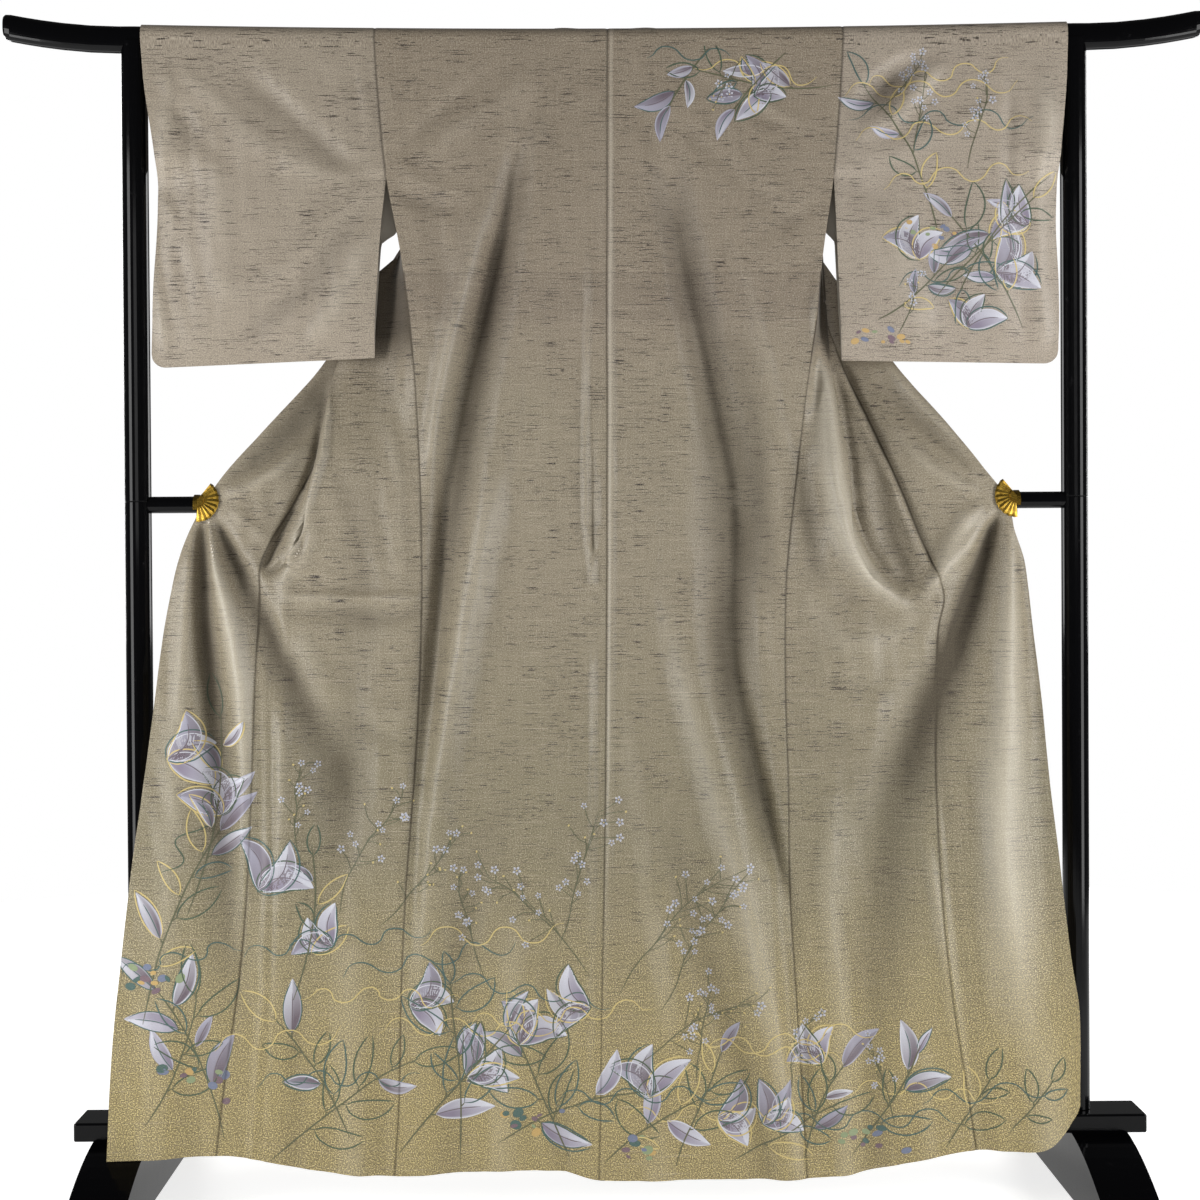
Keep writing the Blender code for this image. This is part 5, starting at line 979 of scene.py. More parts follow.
def cluster(random, centre, size, heading):
    """Three broad leaves from one foot, overlapping, each with a second outline a little outside it."""
    parts = []
    turns = random.uniform(0.75, 1.05), -random.uniform(0.75, 1.05), random.uniform(-0.15, 0.15)
    for turn, dyes in zip(turns, ((MAUVE, PALE), (LAVENDER, WHITE), (MAUVE, WHITE))):
        out = toward(heading + turn)
        tip = np.array(centre) + size * random.uniform(0.85, 1.15) * out
        wide, bend = size * random.uniform(0.42, 0.52), random.uniform(0.12, 0.30) * (-1 if turn > 0 else 1)
        parts.append(leaf(centre, tip, wide, bend, dyes))
        parts += leaf_lines(centre, tip, wide, bend, WHITE, 0.0011, MAUVE)
        parts += leaf_lines(np.array(centre) - 0.04 * size * out, tip + 0.07 * size * out, wide * 1.22, bend,
                            (TEAL, GREEN, GOLD)[random.integers(3)])
    return parts


def wander(base, heading, length, steps, turn):
    """Points of a stem that turns a little at each step, and its last heading."""
    points = [np.array(base, float)]
    for _ in range(steps):
        heading += turn()
        points.append(points[-1] + length / steps * toward(heading))
    return points, heading


def spray(random, base, angle, length, leaves, size, filled, curl):
    """A curving stem with leaves on both sides, some filled and some in outline."""
    points, _ = wander(base, angle, length, 6, lambda: curl / 6 + random.normal(0.0, 0.05))
    stem = smooth_line(points)
    parts = [ribbon(points, 0.0021, STEM)]
    run = np.gradient(stem, axis=0)
    for k in range(leaves):
        at = int((0.22 + 0.78 * (k + 0.5) / leaves) * (len(stem) - 1))
        aside = (0.85 if k % 2 else -0.85) * random.uniform(0.7, 1.2) * (0.25 if k == leaves - 1 else 1.0)
        out = toward(math.atan2(run[at][1], run[at][0]) + aside)
        long = size * random.uniform(0.75, 1.40)
        foot = stem[at] + 0.10 * long * out
        tip = foot + long * out
        wide, bend = long * random.uniform(0.27, 0.38), random.uniform(-0.16, 0.16)
        parts.append(ribbon([stem[at], foot], 0.0017, STEM))
        if random.random() < filled:
            parts.append(leaf(foot, tip, wide, bend, LEAF_DYES[random.integers(3)]))
            parts += leaf_lines(foot, tip, wide, bend, (WHITE, TEAL, PALE)[random.integers(3)], 0.0014,
                                (MAUVE, TEAL)[k % 2])
            if random.random() < 0.5:
                parts += leaf_lines(foot, tip + 0.08 * (tip - foot), wide * 1.25, bend,
                                    (TEAL, GREEN, GOLD)[random.integers(3)])
        else:
            parts += leaf_lines(foot, tip, wide * 1.15, bend, (GREEN, TEAL, GREEN, GOLD)[random.integers(4)])
    return parts


def sprig(random, base, angle, length, count, radius):
    """A fine twig with small white blossoms and buds."""
    points, heading = wander(base, angle, length, 5, lambda: random.normal(0.0, 0.16))
    parts, tips = [ribbon(points, 0.0013, STEM)], []
    stem = smooth_line(points)
    for k in range(count):
        at = stem[int((0.30 + 0.70 * (k + 1) / count) * (len(stem) - 1))]
        turn = heading + random.uniform(-1.3, 1.3)
        tip = at + random.uniform(0.3, 1.0) * length * 0.22 * toward(turn)
        parts.append(ribbon([at, (at + tip) / 2 + random.normal(0.0, 0.002, 2), tip], 0.0010, STEM))
        tips.append(tip)
    for tip in tips:
        if random.random() < 0.68:
            parts += blossom(tip, radius * random.uniform(0.8, 1.2), random.uniform(0, 2 * math.pi))
        else:
            parts.append(pebble(tip, radius * 0.32, radius * 0.24, random.uniform(0, 3), GOLD))
    return parts


def stream(random, start, angle, length, swing, colour):
    """A meandering line of water."""
    points, place, phase = [], np.array(start, float), 3.0 * angle
    pace = random.uniform(0.55, 0.85)
    for _ in range(max(int(1.35 * length / STREAM_STEP), 8)):
        points.append(place)
        phase += pace * random.uniform(0.7, 1.3)
        turn = 0.90 * swing * math.sin(phase)
        place = place + STREAM_STEP * np.array([math.cos(angle + turn), 0.62 * math.sin(angle + turn)])
    return [ribbon(points, 0.0017, colour)]


def design(seed, sway, sprays, clusters, sprigs, more_buds, blossom_size, streams, pebbles):
    """All parts of one design. Rows are, for sprays: x, z, angle, length, leaves, leaf size, filled share;
    for clusters: x, z, size, angle; for sprigs: x, z, angle, length, buds; for streams: x, z, angle, length,
    swing, number of its dye. Pebbles: how many, their middles, spread, sizes and dyes."""
    random = np.random.default_rng(seed)
    parts = []
    for x, z, angle, length, leaves, size, filled in numbers(sprays, 7):
        parts += spray(random, (x, z), angle, length, int(leaves), size, filled, random.uniform(-sway, sway))
    for x, z, size, angle in numbers(clusters, 4):
        parts += cluster(random, (x, z), 1.95 * size, angle)
    for x, z, angle, length, buds in numbers(sprigs, 5):
        parts += sprig(random, (x, z), angle, length, int(buds) + more_buds, blossom_size)
    for x, z, angle, length, swing, dye in numbers(streams, 6):
        parts += stream(random, (x, z), angle, length, swing, STREAM_DYES[int(dye)])
    count, middles, spread, sizes, dyes = pebbles
    for _ in range(count):
        centre = np.array(middles[random.integers(len(middles))]) + random.normal(0.0, 1.0, 2) * spread
        size = random.uniform(*sizes)
        parts.append(pebble(centre, size, size * random.uniform(0.5, 0.8), random.normal(0.0, 0.4),
                            dyes[random.integers(len(dyes))]))
    return parts


def hem_design():
    return design(
        407, 0.7, more_buds=8, blossom_size=0.0056,
        sprays="""
            -0.66 0.27 1.45 0.3 7 0.064 0.55, -0.6 0.42 1.15 0.3 6 0.06 0.6, -0.655 0.13 0.95 0.2 6 0.058 0.35,
            -0.545 0.11 1.75 0.24 6 0.06 0.45, -0.48 0.08 0.85 0.25 7 0.06 0.35, -0.45 0.3 1.1 0.22 5 0.05 0.4,
            -0.37 0.11 1.95 0.2 6 0.058 0.4, -0.3 0.085 0.95 0.24 6 0.062 0.5,
            -0.215 0.075 1.6 0.26 6 0.062 0.5, -0.16 0.1 0.6 0.22 6 0.06 0.55, -0.06 0.075 2.1 0.2 5 0.056 0.45,
            -0.01 0.07 0.85 0.17 5 0.05 0.3, 0.09 0.065 1.25 0.18 5 0.058 0.6, 0.17 0.07 0.55 0.17 5 0.054 0.4,
            0.27 0.07 1.3 0.15 5 0.052 0.6, 0.34 0.08 0.7 0.18 5 0.052 0.35, 0.47 0.09 1 0.12 4 0.044 0,
            0.56 0.11 0.8 0.1 4 0.038 0""",
        clusters="""
            -0.628 0.64 0.036 0.4, -0.555 0.56 0.032 1.9, -0.5 0.455 0.036 0.9, -0.395 0.375 0.03 2.4,
            -0.285 0.29 0.034 0.2, -0.13 0.235 0.036 1.2, -0.03 0.285 0.03 2.8, -0.205 0.19 0.03 0.7,
            0.055 0.16 0.034 1.6, 0.15 0.13 0.03 0.1, 0.3 0.205 0.03 2.2, 0.215 0.12 0.028 0.8""",
        sprigs="""
            -0.385 0.42 1.3 0.19 9, -0.44 0.48 1.75 0.15 7, -0.33 0.4 0.9 0.17 8, -0.075 0.37 1.35 0.2 10,
            -0.03 0.33 1.85 0.21 10, 0.01 0.3 0.95 0.24 12, 0.07 0.28 1.25 0.2 10, 0.03 0.2 0.6 0.2 9,
            -0.18 0.33 2.1 0.15 7, 0.12 0.18 1.7 0.13 6, 0.25 0.16 1.5 0.12 5, 0.4 0.12 1.6 0.11 5""",
        streams="""
            -0.52 0.36 0.2 0.3 1.25 0, -0.44 0.3 -0.15 0.26 1.35 1, -0.38 0.33 0.25 0.28 1.2 0,
            -0.33 0.25 0.05 0.3 1.3 1, -0.27 0.375 0 0.24 1.35 1, -0.24 0.32 -0.2 0.25 1.15 0,
            -0.2 0.26 0.1 0.3 1.3 1, -0.08 0.15 0.1 0.26 1.25 0, 0.01 0.12 0.05 0.3 1.3 1,
            0.08 0.235 -0.2 0.26 1.2 1, 0.13 0.215 0.12 0.3 1.3 1, 0.24 0.11 0.1 0.28 1.25 0,
            0.33 0.16 -0.1 0.24 1.3 1, 0.44 0.15 0.05 0.2 1.2 0, -0.64 0.48 1.2 0.2 0.9 2,
            -0.69 0.34 0.4 0.2 1.3 0, -0.56 0.23 0.1 0.22 1.3 1, -0.5 0.18 0 0.26 1.3 0""",
        pebbles=(58, ((-0.660, 0.330), (-0.600, 0.200), (-0.120, 0.130), (0.030, 0.085), (0.360, 0.100)),
                 (0.022, 0.011), (0.0035, 0.0085), (BLUE, SAGE, OCHRE, PLUM, TEAL)))


def shoulder_design():
    return design(
        58, 0.6, more_buds=4, blossom_size=0.0054,
        sprays="""
            0.325 1.6 3.3 0.2 6 0.048 0.6, 0.15 1.655 4.1 0.11 4 0.044 0.6, 0.26 1.648 3.9 0.12 4 0.046 0.5,
            0.64 1.47 3.75 0.22 6 0.052 0.55, 0.47 1.29 0.9 0.22 6 0.052 0.6, 0.6 1.25 1.9 0.2 6 0.05 0.5,
            0.39 1.26 0.45 0.14 5 0.044 0.55, 0.48 1.38 1.75 0.26 7 0.05 0.2""",
        clusters="""
            0.56 1.33 0.034 0.5, 0.45 1.35 0.03 1.7, 0.61 1.4 0.03 2.6, 0.215 1.585 0.026 0.9,
            0.52 1.25 0.028 1.2""",
        sprigs="""
            0.52 1.48 1.65 0.13 8, 0.44 1.5 1.25 0.12 7, 0.39 1.56 0.7 0.1 5, 0.2 1.64 3.9 0.08 5,
            0.42 1.24 1.1 0.09 5""",
        streams="""
            0.345 1.585 0.1 0.28 1.25 1, 0.35 1.55 -0.1 0.3 1.3 0, 0.36 1.52 0.15 0.28 1.2 1,
            0.4 1.45 0.05 0.24 1.3 1, 0.38 1.6 0.2 0.24 1.35 1, 0.13 1.625 -0.2 0.2 1.3 1,
            0.06 1.64 0 0.14 1.25 0, 0.42 1.31 0.2 0.22 1.2 0""",
        pebbles=(22, ((0.480, 1.395), (0.400, 1.235)), (0.018, 0.009), (0.003, 0.0065), (BLUE, SAGE, OCHRE, PLUM)))


class Ground:
    """Part of a panel, on which flat shapes are laid by their place as seen from -Y or +Y."""

    def __init__(self, panel, rows, columns, lift_hem=True):
        self.panel = panel
        self.lift_hem = lift_hem
        layers = [panel.grid, panel.normals()] + [a[..., None] for a in (panel.u, panel.v, panel.fall, panel.tone)]
        self.layers = np.concatenate(layers, axis=2)[np.ix_(rows, columns)]
        self.heights = panel.heights[::-1, 0]
        if self.layers[0, :, 2].mean() > self.layers[-1, :, 2].mean():
            self.layers = self.layers[::-1]
        middle = self.layers[len(self.layers) // 2, :, 0]
        if middle[0] > middle[-1]:
            self.layers = self.layers[:, ::-1]

    def find(self, points):
        """Fractional row and column of each (x, z), and whether it lies on this part."""
        x, z = points[:, 0], points[:, 1]
        height = z.copy()
        for _ in range(8 if self.lift_hem else 0):
            height = z - hem_lift(x, height)
        row = np.interp(height, self.heights, np.arange(len(self.heights)))
        inside = (height > self.heights[0]) & (height < self.heights[-1])
        low = np.minimum(row.astype(int), len(self.heights) - 2)
        column = np.empty(len(x))
        counts = np.arange(self.layers.shape[1])
        for k, (r, part) in enumerate(zip(low, row - low)):
            line = self.layers[r, :, 0] * (1 - part) + self.layers[r + 1, :, 0] * part
            column[k] = np.interp(x[k], line, counts)
            inside[k] &= line[0] < x[k] < line[-1]
        return row, column, inside

    def lay(self, points, lift):
        """Place, normal and cloth values of each (x, z), and whether it lies on this part."""
        row, column, inside = self.find(points)
        r = np.minimum(row.astype(int), self.layers.shape[0] - 2)
        c = np.minimum(column.astype(int), self.layers.shape[1] - 2)
        fr, fc = (row - r)[:, None], (column - c)[:, None]
        value = ((self.layers[r, c] * (1 - fc) + self.layers[r, c + 1] * fc) * (1 - fr)
                 + (self.layers[r + 1, c] * (1 - fc) + self.layers[r + 1, c + 1] * fc) * fr)
        place = value[:, :3] + value[:, 3:6] * (SHELL / 2 + lift)[:, None]
        return place, value[:, 3:6], value[:, 6:], inside


def lay_design(name, grounds, parts, finish):
    """One mesh with every part of the design that lies on these grounds."""
    points = np.concatenate([p.points for p in parts])
    dyes = np.concatenate([p.colours for p in parts])
    lifts = np.concatenate([np.full(len(p.points), p.lift + 0.00008 * (k % 3)) for k, p in enumerate(parts)])
    faces, start = [], 0
    for p in parts:
        faces += [tuple(start + i for i in face) for face in p.faces]
        start += len(p.points)
    made_faces, made = [], []
    total = 0
    for ground in grounds:
        place, normal, value, inside = ground.lay(points, lifts)
        kept = [f for f in faces if any(inside[i] for i in f)]
        if not kept:
            continue
        used = np.unique(np.concatenate([np.array(f) for f in kept]))
        new = np.full(len(points), -1)
        new[used] = np.arange(len(used)) + total
        for f in kept:
            a, b, c = (place[i] for i in f[:3])
            away = np.cross(b - a, c - a) @ normal[f[0]] < 0
            made_faces.append([int(new[i]) for i in (f[::-1] if away else f)])
        made.append(np.concatenate([place, value, dyes], axis=1)[used])
        total += len(used)
    if not made_faces:
        return None
    made = np.concatenate(made)
    values = {"fall": made[:, 5], "tone": np.clip(made[:, 6], -1, 1),
              "lot": np.full(len(made), grounds[0].panel.lot)}
    return make_mesh(name, made[:, :3].tolist(), made_faces, made[:, 3:5], values, [finish], None, made[:, 7:])


# ---------------------------------------------------------------- materials
class Nodes:
    """A material's node tree, built by short calls."""

    def __init__(self, name):
        self.material = bpy.data.materials.new(name)
        self.material.use_nodes = True
        self.tree = self.material.node_tree
        self.shader = self.tree.nodes["Principled BSDF"]

    def add(self, kind, inputs=(), **settings):
        node = self.tree.nodes.new(kind)
        for key, value in settings.items():
            setattr(node, key, value)
        for key, value in dict(inputs).items():
            self.put(node.inputs[key], value)
        return node

    def put(self, socket, value):
        if isinstance(value, bpy.types.NodeSocket):
            self.tree.links.new(value, socket)
        else:
            socket.default_value = value

    def finish(self, **inputs):
        for key, value in inputs.items():
            self.put(self.shader.inputs[key.replace("_", " ")], value)
        return self.material

    def math(self, operation, a, b=0.0, c=0.0, clamp=False):
        node = self.add("ShaderNodeMath", operation=operation, use_clamp=clamp)
        for socket, value in zip(node.inputs, (a, b, c)):
            self.put(socket, value)
        return node.outputs[0]

    def times(self, a, b):
        return self.math("MULTIPLY", a, b)

    def plus(self, a, b):
        return self.math("ADD", a, b)

    def scaled(self, value, by, plus, clamp=False):
        """The value times one number plus another."""
        return self.math("MULTIPLY_ADD", value, by, plus, clamp)

    def mix(self, factor, a, b):
        node = self.add("ShaderNodeMix", {0: factor, 6: a, 7: b}, data_type="RGBA")
        return node.outputs[2]

    def ramp(self, value, low, high):
        """0 at low, 1 at high, smooth between."""
        node = self.add("ShaderNodeMapRange", interpolation_type="SMOOTHSTEP")
        for socket, given in zip(node.inputs, (value, low, high, 0.0, 1.0)):
            self.put(socket, given)
        return node.outputs["Result"]

    def noise(self, vector, scale, detail=1.0, roughness=0.5):
        inputs = {"Vector": vector, "Scale": scale, "Detail": detail, "Roughness": roughness}
        return self.add("ShaderNodeTexNoise", inputs).outputs["Fac"]

    def threads(self, vector, along, across, detail=1.0):
        """Noise drawn out by so many spots to the metre along the cloth's width and its length."""
        inputs = {0: vector, 1: (along, across, 1.0)}
        return self.noise(self.add("ShaderNodeVectorMath", inputs, operation="MULTIPLY").outputs[0], 1.0, detail)

    def bump(self, height, distance, strength):
        inputs = {"Height": height, "Distance": distance, "Strength": strength}
        return self.add("ShaderNodeBump", inputs).outputs[0]

    def attribute(self, name):
        return self.add("ShaderNodeAttribute", attribute_name=name).outputs["Fac"]

    def tint(self, colour, value, low, high, strength, dye):
        """The colour, with some of the dye over it where the value goes from low to high."""
        return self.mix(self.times(self.ramp(value, low, high), strength), colour, rgb(*dye))

    def cloth(self):
        """The place on the flat cloth and the height above the hem."""
        return self.add("ShaderNodeUVMap", uv_map="cloth").outputs[0], self.attribute("fall")

    def place(self):
        return self.add("ShaderNodeTexCoord").outputs["Object"]

    def shade(self):
        """How much painted shade a point gets from its painted light, full in the dark of a fold."""
        return self.scaled(self.attribute("tone"), -1.15, -0.04, clamp=True)


def rgb(red, green, blue):
    """A colour given as the eye reads it, 0 to 255, made linear."""
    def linear(value):
        value /= 255.0
        return value / 12.92 if value <= 0.04045 else ((value + 0.055) / 1.055) ** 2.4
    return (linear(red), linear(green), linear(blue), 1.0)


# the dark brown painted into folds as shade
FOLD_SHADE_COLOUR = 48, 41, 32


def tuck_line(n, place):
    """The strip above the tucked line across the back, a little darker, and the line itself."""
    parts = n.add("ShaderNodeSeparateXYZ", {0: place})
    across, along = parts.outputs[0], parts.outputs[1]
    band = n.times(n.ramp(along, 1.213, 1.219), n.ramp(along, 1.288, 1.282))
    band = n.times(band, n.ramp(across, 0.45, 0.40))
    line = n.ramp(n.math("ABSOLUTE", n.math("SUBTRACT", along, 1.2855)), 0.0016, 0.0004)
    line = n.times(line, n.ramp(across, 0.45, 0.40))
    return n.scaled(line, 0.42, n.times(band, 0.18))


def silk_ground(n, place, fall):
    """Colour and thread height of the dyed silk, in cloth places: dashes of dark weft slub on greige, ageing
    to a gold-dusted beige at the hem; painted shade in folds, painted highlights on ridges, painted light on the
    sleeves."""
    lot = n.attribute("lot")
    shift = n.add("ShaderNodeCombineXYZ", {0: n.times(lot, 3.73), 1: n.times(lot, 1.91)})
    cloth = n.add("ShaderNodeVectorMath", {0: place, 1: shift.outputs[0]}, operation="ADD").outputs[0]
    low = n.noise(cloth, 3.2, 2.0)
    level = n.plus(fall, n.times(n.math("SUBTRACT", low, 0.5), 0.16))
    colour = n.mix(n.ramp(level, 1.26, 1.06), rgb(127, 116, 100), rgb(127, 118, 99))
    colour = n.mix(n.ramp(level, 0.95, 0.42), colour, rgb(114, 107, 83))
    colour = n.mix(n.ramp(level, 0.50, 0.05), colour, rgb(132, 119, 79))

    # painted light: the sleeves painted paler, the right one most, as if more strongly lit
    painted_sleeve_light = n.scaled(n.ramp(lot, 9.0, 9.5), 0.13, n.times(n.ramp(lot, 7.0, 7.5), 0.22))
    colour = n.mix(painted_sleeve_light, colour, rgb(176, 165, 156))
    colour = n.tint(colour, n.noise(cloth, 7.0, 3.0), 0.35, 0.75, 0.14, (112, 100, 84))
    colour = n.mix(tuck_line(n, place), colour, rgb(74, 62, 54))

    weft = n.threads(cloth, 7.0, 640.0, 2.0)
    colour = n.tint(colour, weft, 0.40, 0.80, 0.30, (100, 88, 72))
    colour = n.tint(colour, n.threads(cloth, 11.0, 520.0), 0.56, 0.80, 0.35, (178, 167, 148))
    warp = n.threads(cloth, 760.0, 16.0)
    colour = n.tint(colour, warp, 0.45, 0.85, 0.16, (186, 175, 155))

    bunch = n.threads(cloth, 9.0, 22.0, 2.0)
    long_slub = n.threads(cloth, 26.0, 720.0, 0.5)
    short_slub = n.threads(cloth, 85.0, 760.0, 0.5)
    long_mark = n.ramp(n.plus(long_slub, n.times(bunch, 0.26)), 0.800, 0.835)
    short_mark = n.ramp(n.plus(short_slub, n.times(bunch, 0.30)), 0.845, 0.880)
    mark = n.math("MAXIMUM", long_mark, n.times(short_mark, 0.9))
    mark = n.times(mark, n.scaled(n.ramp(fall, 0.05, 0.60), 0.80, 0.20))
    colour = n.mix(n.times(mark, 0.95), colour, rgb(32, 22, 18))

    grain = n.noise(cloth, 560.0, 1.0, 0.7)
    dusted = n.ramp(level, 0.60, 0.14)
    bright = n.times(n.ramp(grain, 0.53, 0.66), n.scaled(dusted, 0.44, 0.34))
    colour = n.mix(bright, colour, n.mix(dusted, rgb(190, 180, 162), rgb(216, 198, 138)))
    dark = n.times(n.ramp(grain, 0.47, 0.35), n.scaled(dusted, 0.34, 0.38))
    colour = n.mix(dark, colour, rgb(68, 55, 40))
    # painted shade darkens the silk in folds and troughs; painted highlight lightens it on ridges
    shade = n.shade()
    colour = n.mix(n.times(shade, 0.80), colour, rgb(*FOLD_SHADE_COLOUR))
    ridge_highlight = n.scaled(n.attribute("tone"), 1.7, -0.05, clamp=True)
    colour = n.mix(n.times(ridge_highlight, 0.36), colour, rgb(210, 203, 187))

    height = n.plus(n.times(weft, 0.6), n.times(mark, 0.5))
    height = n.plus(height, n.times(grain, 0.5))
    height = n.plus(height, n.times(warp, 0.25))
    return colour, height, shade


def silk_outer():
    n = Nodes("silk_outer")
    cloth, fall = n.cloth()
    colour, height, shade = silk_ground(n, cloth, fall)
    rough = n.scaled(shade, 0.52, n.scaled(n.noise(cloth, 30.0, 2.0), 0.12, 0.42))
    return n.finish(Base_Color=colour, Roughness=rough, Normal=n.bump(height, 0.00022, 0.55),
                    Sheen_Weight=0.12, Sheen_Roughness=0.4, Specular_IOR_Level=0.45)


def silk_painted():
    """The design's dye, fading into the same silk where its coverage is low."""
    n = Nodes("silk_painted")
    cloth, fall = n.cloth()
    colour, height, shade = silk_ground(n, cloth, fall)
    dye = n.add("ShaderNodeAttribute", attribute_name="dye").outputs
    paint = n.tint(dye["Color"], n.threads(cloth, 700.0, 900.0), 0.4, 0.8, 0.22, (120, 112, 110))
    # painted shade over the design's dye in folds
    paint = n.mix(n.times(shade, 0.55), paint, rgb(*FOLD_SHADE_COLOUR))
    colour = n.mix(dye["Alpha"], colour, paint)
    return n.finish(Base_Color=colour, Roughness=n.scaled(shade, 0.5, 0.48), Normal=n.bump(height, 0.00018, 0.5),
                    Sheen_Weight=0.2, Sheen_Roughness=0.45, Specular_IOR_Level=0.4)


def silk_lining():
    """Plain lining: ivory above, beige like the hem below, with shade painted into its folds."""
    n = Nodes("silk_lining")
    cloth, fall = n.cloth()
    colour = n.mix(n.ramp(fall, 0.716, 0.714), rgb(196, 188, 174), rgb(164, 150, 118))
    colour = n.tint(colour, n.noise(cloth, 9.0, 3.0), 0.3, 0.8, 0.12, (170, 160, 142))
    weave = n.plus(n.threads(cloth, 60.0, 1100.0, 2.0), n.threads(cloth, 1100.0, 60.0, 2.0))
    colour = n.tint(colour, weave, 0.8, 1.3, 0.14, (150, 140, 122))
    # painted shade in folds
    colour = n.mix(n.times(n.shade(), 0.75), colour, rgb(62, 55, 46))
    return n.finish(Base_Color=colour, Roughness=0.5, Normal=n.bump(weave, 0.00015, 0.5),
                    Sheen_Weight=0.2, Sheen_Roughness=0.5, Specular_IOR_Level=0.4)


def lacquer(name, gloss):
    """Black lacquer: deep gloss, faint brush waviness, a little dust."""
    n = Nodes(name)
    place = n.place()
    dust = n.noise(place, 90.0, 6.0, 0.7)
    colour = n.tint(rgb(4, 4, 5), dust, 0.62, 0.80, 0.35, (34, 33, 35))
    haze = n.noise(place, 6.0, 3.0)
    rough = n.scaled(haze, 0.10, n.times(n.ramp(dust, 0.58, 0.8), 0.18))
    return n.finish(Base_Color=colour, Roughness=n.plus(rough, 0.06),
                    Normal=n.bump(n.noise(place, 35.0, 2.0), 0.0004, 0.12), Specular_IOR_Level=gloss)


def gilt():
    """Gilt metal of the clips, worn a little, darker in patches."""
    n = Nodes("gilt_metal")
    wear = n.noise(n.place(), 160.0, 5.0, 0.65)
    return n.finish(Base_Color=n.mix(n.ramp(wear, 0.35, 0.75), rgb(158, 128, 52), rgb(98, 74, 26)),
                    Roughness=n.scaled(wear, 0.22, 0.16), Metallic=1.0,
                    Normal=n.bump(n.noise(n.place(), 900.0, 2.0), 0.0001, 0.25))


def pale_floor():
    """Pale floor with a painted glow over all of it, stronger towards its rim, where it reads white."""
    n = Nodes("pale_floor")
    away = n.add("ShaderNodeVectorMath", {0: n.place()}, operation="LENGTH").outputs["Value"]
    # painted glow: the floor emits light, more towards its rim
    glow = n.scaled(n.ramp(away, 0.7, 2.4), 0.30, 0.70)
    mottled = n.mix(n.noise(n.place(), 2.0, 3.0), rgb(206, 206, 205), rgb(214, 214, 213))
    return n.finish(Base_Color=mottled, Roughness=0.55, Specular_IOR_Level=0.2,
                    Emission_Color=(1.0, 1.0, 1.0, 1.0), Emission_Strength=glow)


# ---------------------------------------------------------------- floor, light and camera
def make_stage():
    """A round floor, its rings closer together towards the middle."""
    rings, turns = 14, 72
    points = [(0.0, 0.0, 0.0)]
    for r in range(1, rings + 1):
        radius = 3.2 * (r / rings) ** 1.5
        points += [(radius * math.cos(2 * math.pi * k / turns), radius * math.sin(2 * math.pi * k / turns), 0.0)
                   for k in range(turns)]
    faces = [(0, 1 + k, 1 + (k + 1) % turns) for k in range(turns)]
    for low in range(1, 1 + (rings - 1) * turns, turns):
        faces += [(low + k, low + turns + k, low + turns + (k + 1) % turns, low + (k + 1) % turns)
                  for k in range(turns)]
    data = bpy.data.meshes.new("floor")
    data.from_pydata(points, [], faces)
    data.materials.append(pale_floor())
    floor = place_in_scene("floor", data)


def area_light(name, place, target_z, size, power):
    data = bpy.data.lights.new(name, "AREA")
    data.shape = "RECTANGLE"
    data.size, data.size_y = size
    data.energy = power
    light = place_in_scene(name, data)
    light.location = place
    light.rotation_euler = (Vector((0.0, 0.0, target_z)) - Vector(place)).to_track_quat("-Z", "Y").to_euler()


def make_light():
    area_light("left_box", (-1.70, -1.05, 0.98), 0.90, (0.6, 1.6), 31)
    area_light("right_box", (1.70, -1.00, 0.98), 0.90, (0.6, 1.6), 29)
    area_light("front", (0.0, -3.4, 1.5), 0.75, (1.4, 1.0), 14)
    area_light("far_left", (-2.3, 2.2, 1.6), 0.95, (1.0, 1.8), 34)
    area_light("far_right", (2.3, 2.0, 1.6), 0.95, (1.0, 1.8), 42)
    world = bpy.data.worlds.new("studio")
    world.use_nodes = True
    bpy.context.scene.world = world
    tree = world.node_tree
    lit, seen = tree.nodes["Background"], tree.nodes.new("ShaderNodeBackground")
    for background, strength in ((lit, 0.11), (seen, 1.0)):
        background.inputs["Color"].default_value = (1.0, 1.0, 1.0, 1.0)
        background.inputs["Strength"].default_value = strength
    path = tree.nodes.new("ShaderNodeLightPath")
    blend = tree.nodes.new("ShaderNodeMixShader")
    tree.links.new(path.outputs["Is Camera Ray"], blend.inputs[0])
    tree.links.new(lit.outputs[0], blend.inputs[1])
    tree.links.new(seen.outputs[0], blend.inputs[2])
    tree.links.new(blend.outputs[0], tree.nodes["World Output"].inputs["Surface"])
    bpy.context.scene.view_settings.view_transform = "Standard"
    bpy.context.scene.view_settings.look = "None"


def make_camera(place, lens, yaw, pitch, roll):
    data = bpy.data.cameras.new("camera")
    data.sensor_width = SENSOR_WIDTH
    data.sensor_fit = "HORIZONTAL"
    data.lens = lens
    forward = Vector((math.sin(yaw) * math.cos(pitch), math.cos(yaw) * math.cos(pitch), -math.sin(pitch)))
    right = Vector((math.cos(yaw), -math.sin(yaw), 0.0))
    up = right.cross(forward)
    tilted_right = right * math.cos(roll) + up * math.sin(roll)
    tilted_up = up * math.cos(roll) - right * math.sin(roll)
    turn = Matrix((tilted_right, tilted_up, -forward)).transposed()
    camera = place_in_scene("camera", data)
    camera.matrix_world = Matrix.Translation(place) @ turn.to_4x4()
    bpy.context.scene.camera = camera


SENSOR_WIDTH, IMAGE_WIDTH = 36.0, 1200.0
FOCAL_PIXELS = 2056.2                   # the lens, in pixels of the photograph
make_camera(place=(-0.0429, -2.9789, 0.8970), lens=FOCAL_PIXELS / IMAGE_WIDTH * SENSOR_WIDTH,
            yaw=0.010486, pitch=0.011528, roll=-0.006232)
make_stage()
make_light()


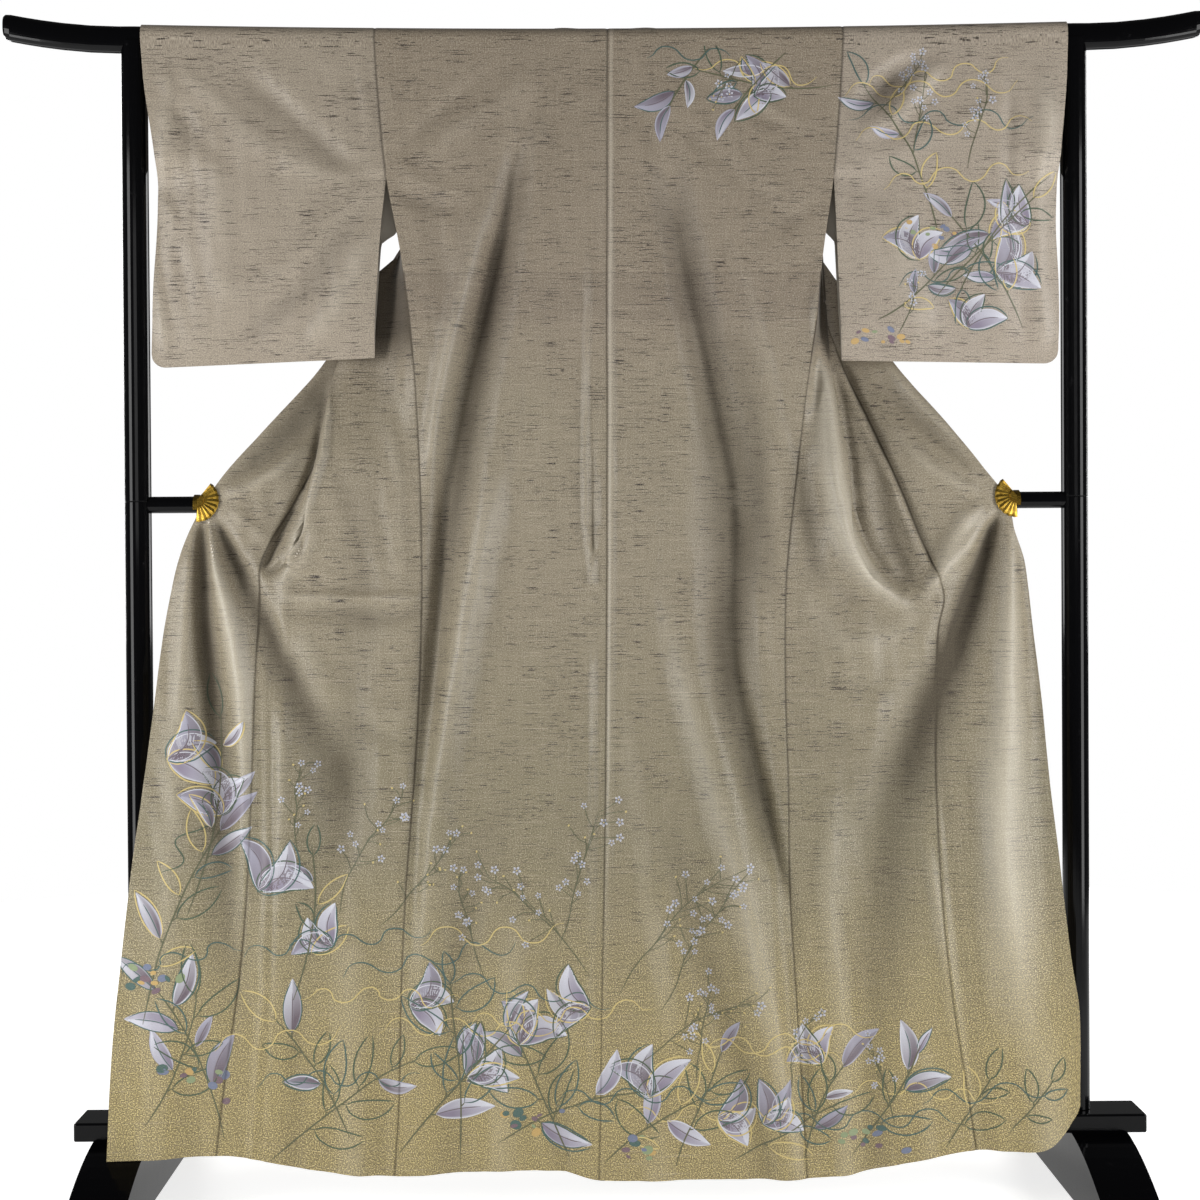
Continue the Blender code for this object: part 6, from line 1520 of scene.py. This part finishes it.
# ---------------------------------------------------------------- the object
OUTER, LINING, PAINTED = silk_outer(), silk_lining(), silk_painted()
lacquered, foot_lacquered, gilded = lacquer("black_lacquer", 0.14), lacquer("foot_lacquer", 0.03), gilt()
stand_finishes = {"top_bar": lacquered, "post": lacquered, "crossbar": lacquered, "base_board": lacquered,
                  "foot": foot_lacquered, "clip": gilded}
for node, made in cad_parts.items():
    for stem, finish in stand_finishes.items():
        if node.startswith(stem):
            made.data.materials.clear()
            made.data.materials.append(finish)

panels = [make(side) for side in (LEFT, RIGHT) for make in (body_panel, okumi_panel, sleeve_panel)]
panels.append(collar_panel())
# flat size and area of what shows, in m and m2, and the stand piece it rests on
CUTS = {
    "body": ((STRIP_WIDTH, STRIP_LENGTH), 1.03, "top_bar"),
    "okumi": ((OKUMI_WIDTH, 1.40), 0.21, "crossbar"),
    "sleeve": ((SLEEVE_WIDTH, 0.98), 0.322, "top_bar"),
    "collar": ((COLLAR_WIDTH, 1.95), 0.119, "top_bar"),
}
HEM_PARTS, SHOULDER_PARTS = hem_design(), shoulder_design()


def painted_places(panel):
    """The parts of a piece with a design on them: the design's name, where it lies, and its patches."""
    rows, whole = np.arange(panel.grid.shape[0]), np.arange(panel.grid.shape[1])
    if panel.name.startswith("body"):
        back = Ground(panel, panel.back_rows, whole)
        front = Ground(panel, panel.front_rows, whole[panel.first_front:])
        yield "hem_design_", [back, front], HEM_PARTS
        if panel.name == "body_right":
            yield "shoulder_design_", [back], SHOULDER_PARTS
    elif panel.name.startswith("okumi"):
        yield "hem_design_", [Ground(panel, rows, whole)], HEM_PARTS
    elif panel.name == "sleeve_right":
        yield "shoulder_design_", [Ground(panel, panel.back_rows, whole, False)], SHOULDER_PARTS


for panel in panels:
    name = panel.name
    is_collar = name == "collar"
    flat, area, bar = CUTS[name.split("_")[0]]
    piece = shell(panel, COLLAR_WALL if is_collar else SHELL, OUTER, OUTER if is_collar else LINING)
    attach(piece, "root")
    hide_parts(name)
    for stem, grounds, parts in painted_places(panel):
        made = lay_design(stem + name, grounds, parts, PAINTED)
        if made:
            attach(made, "root")
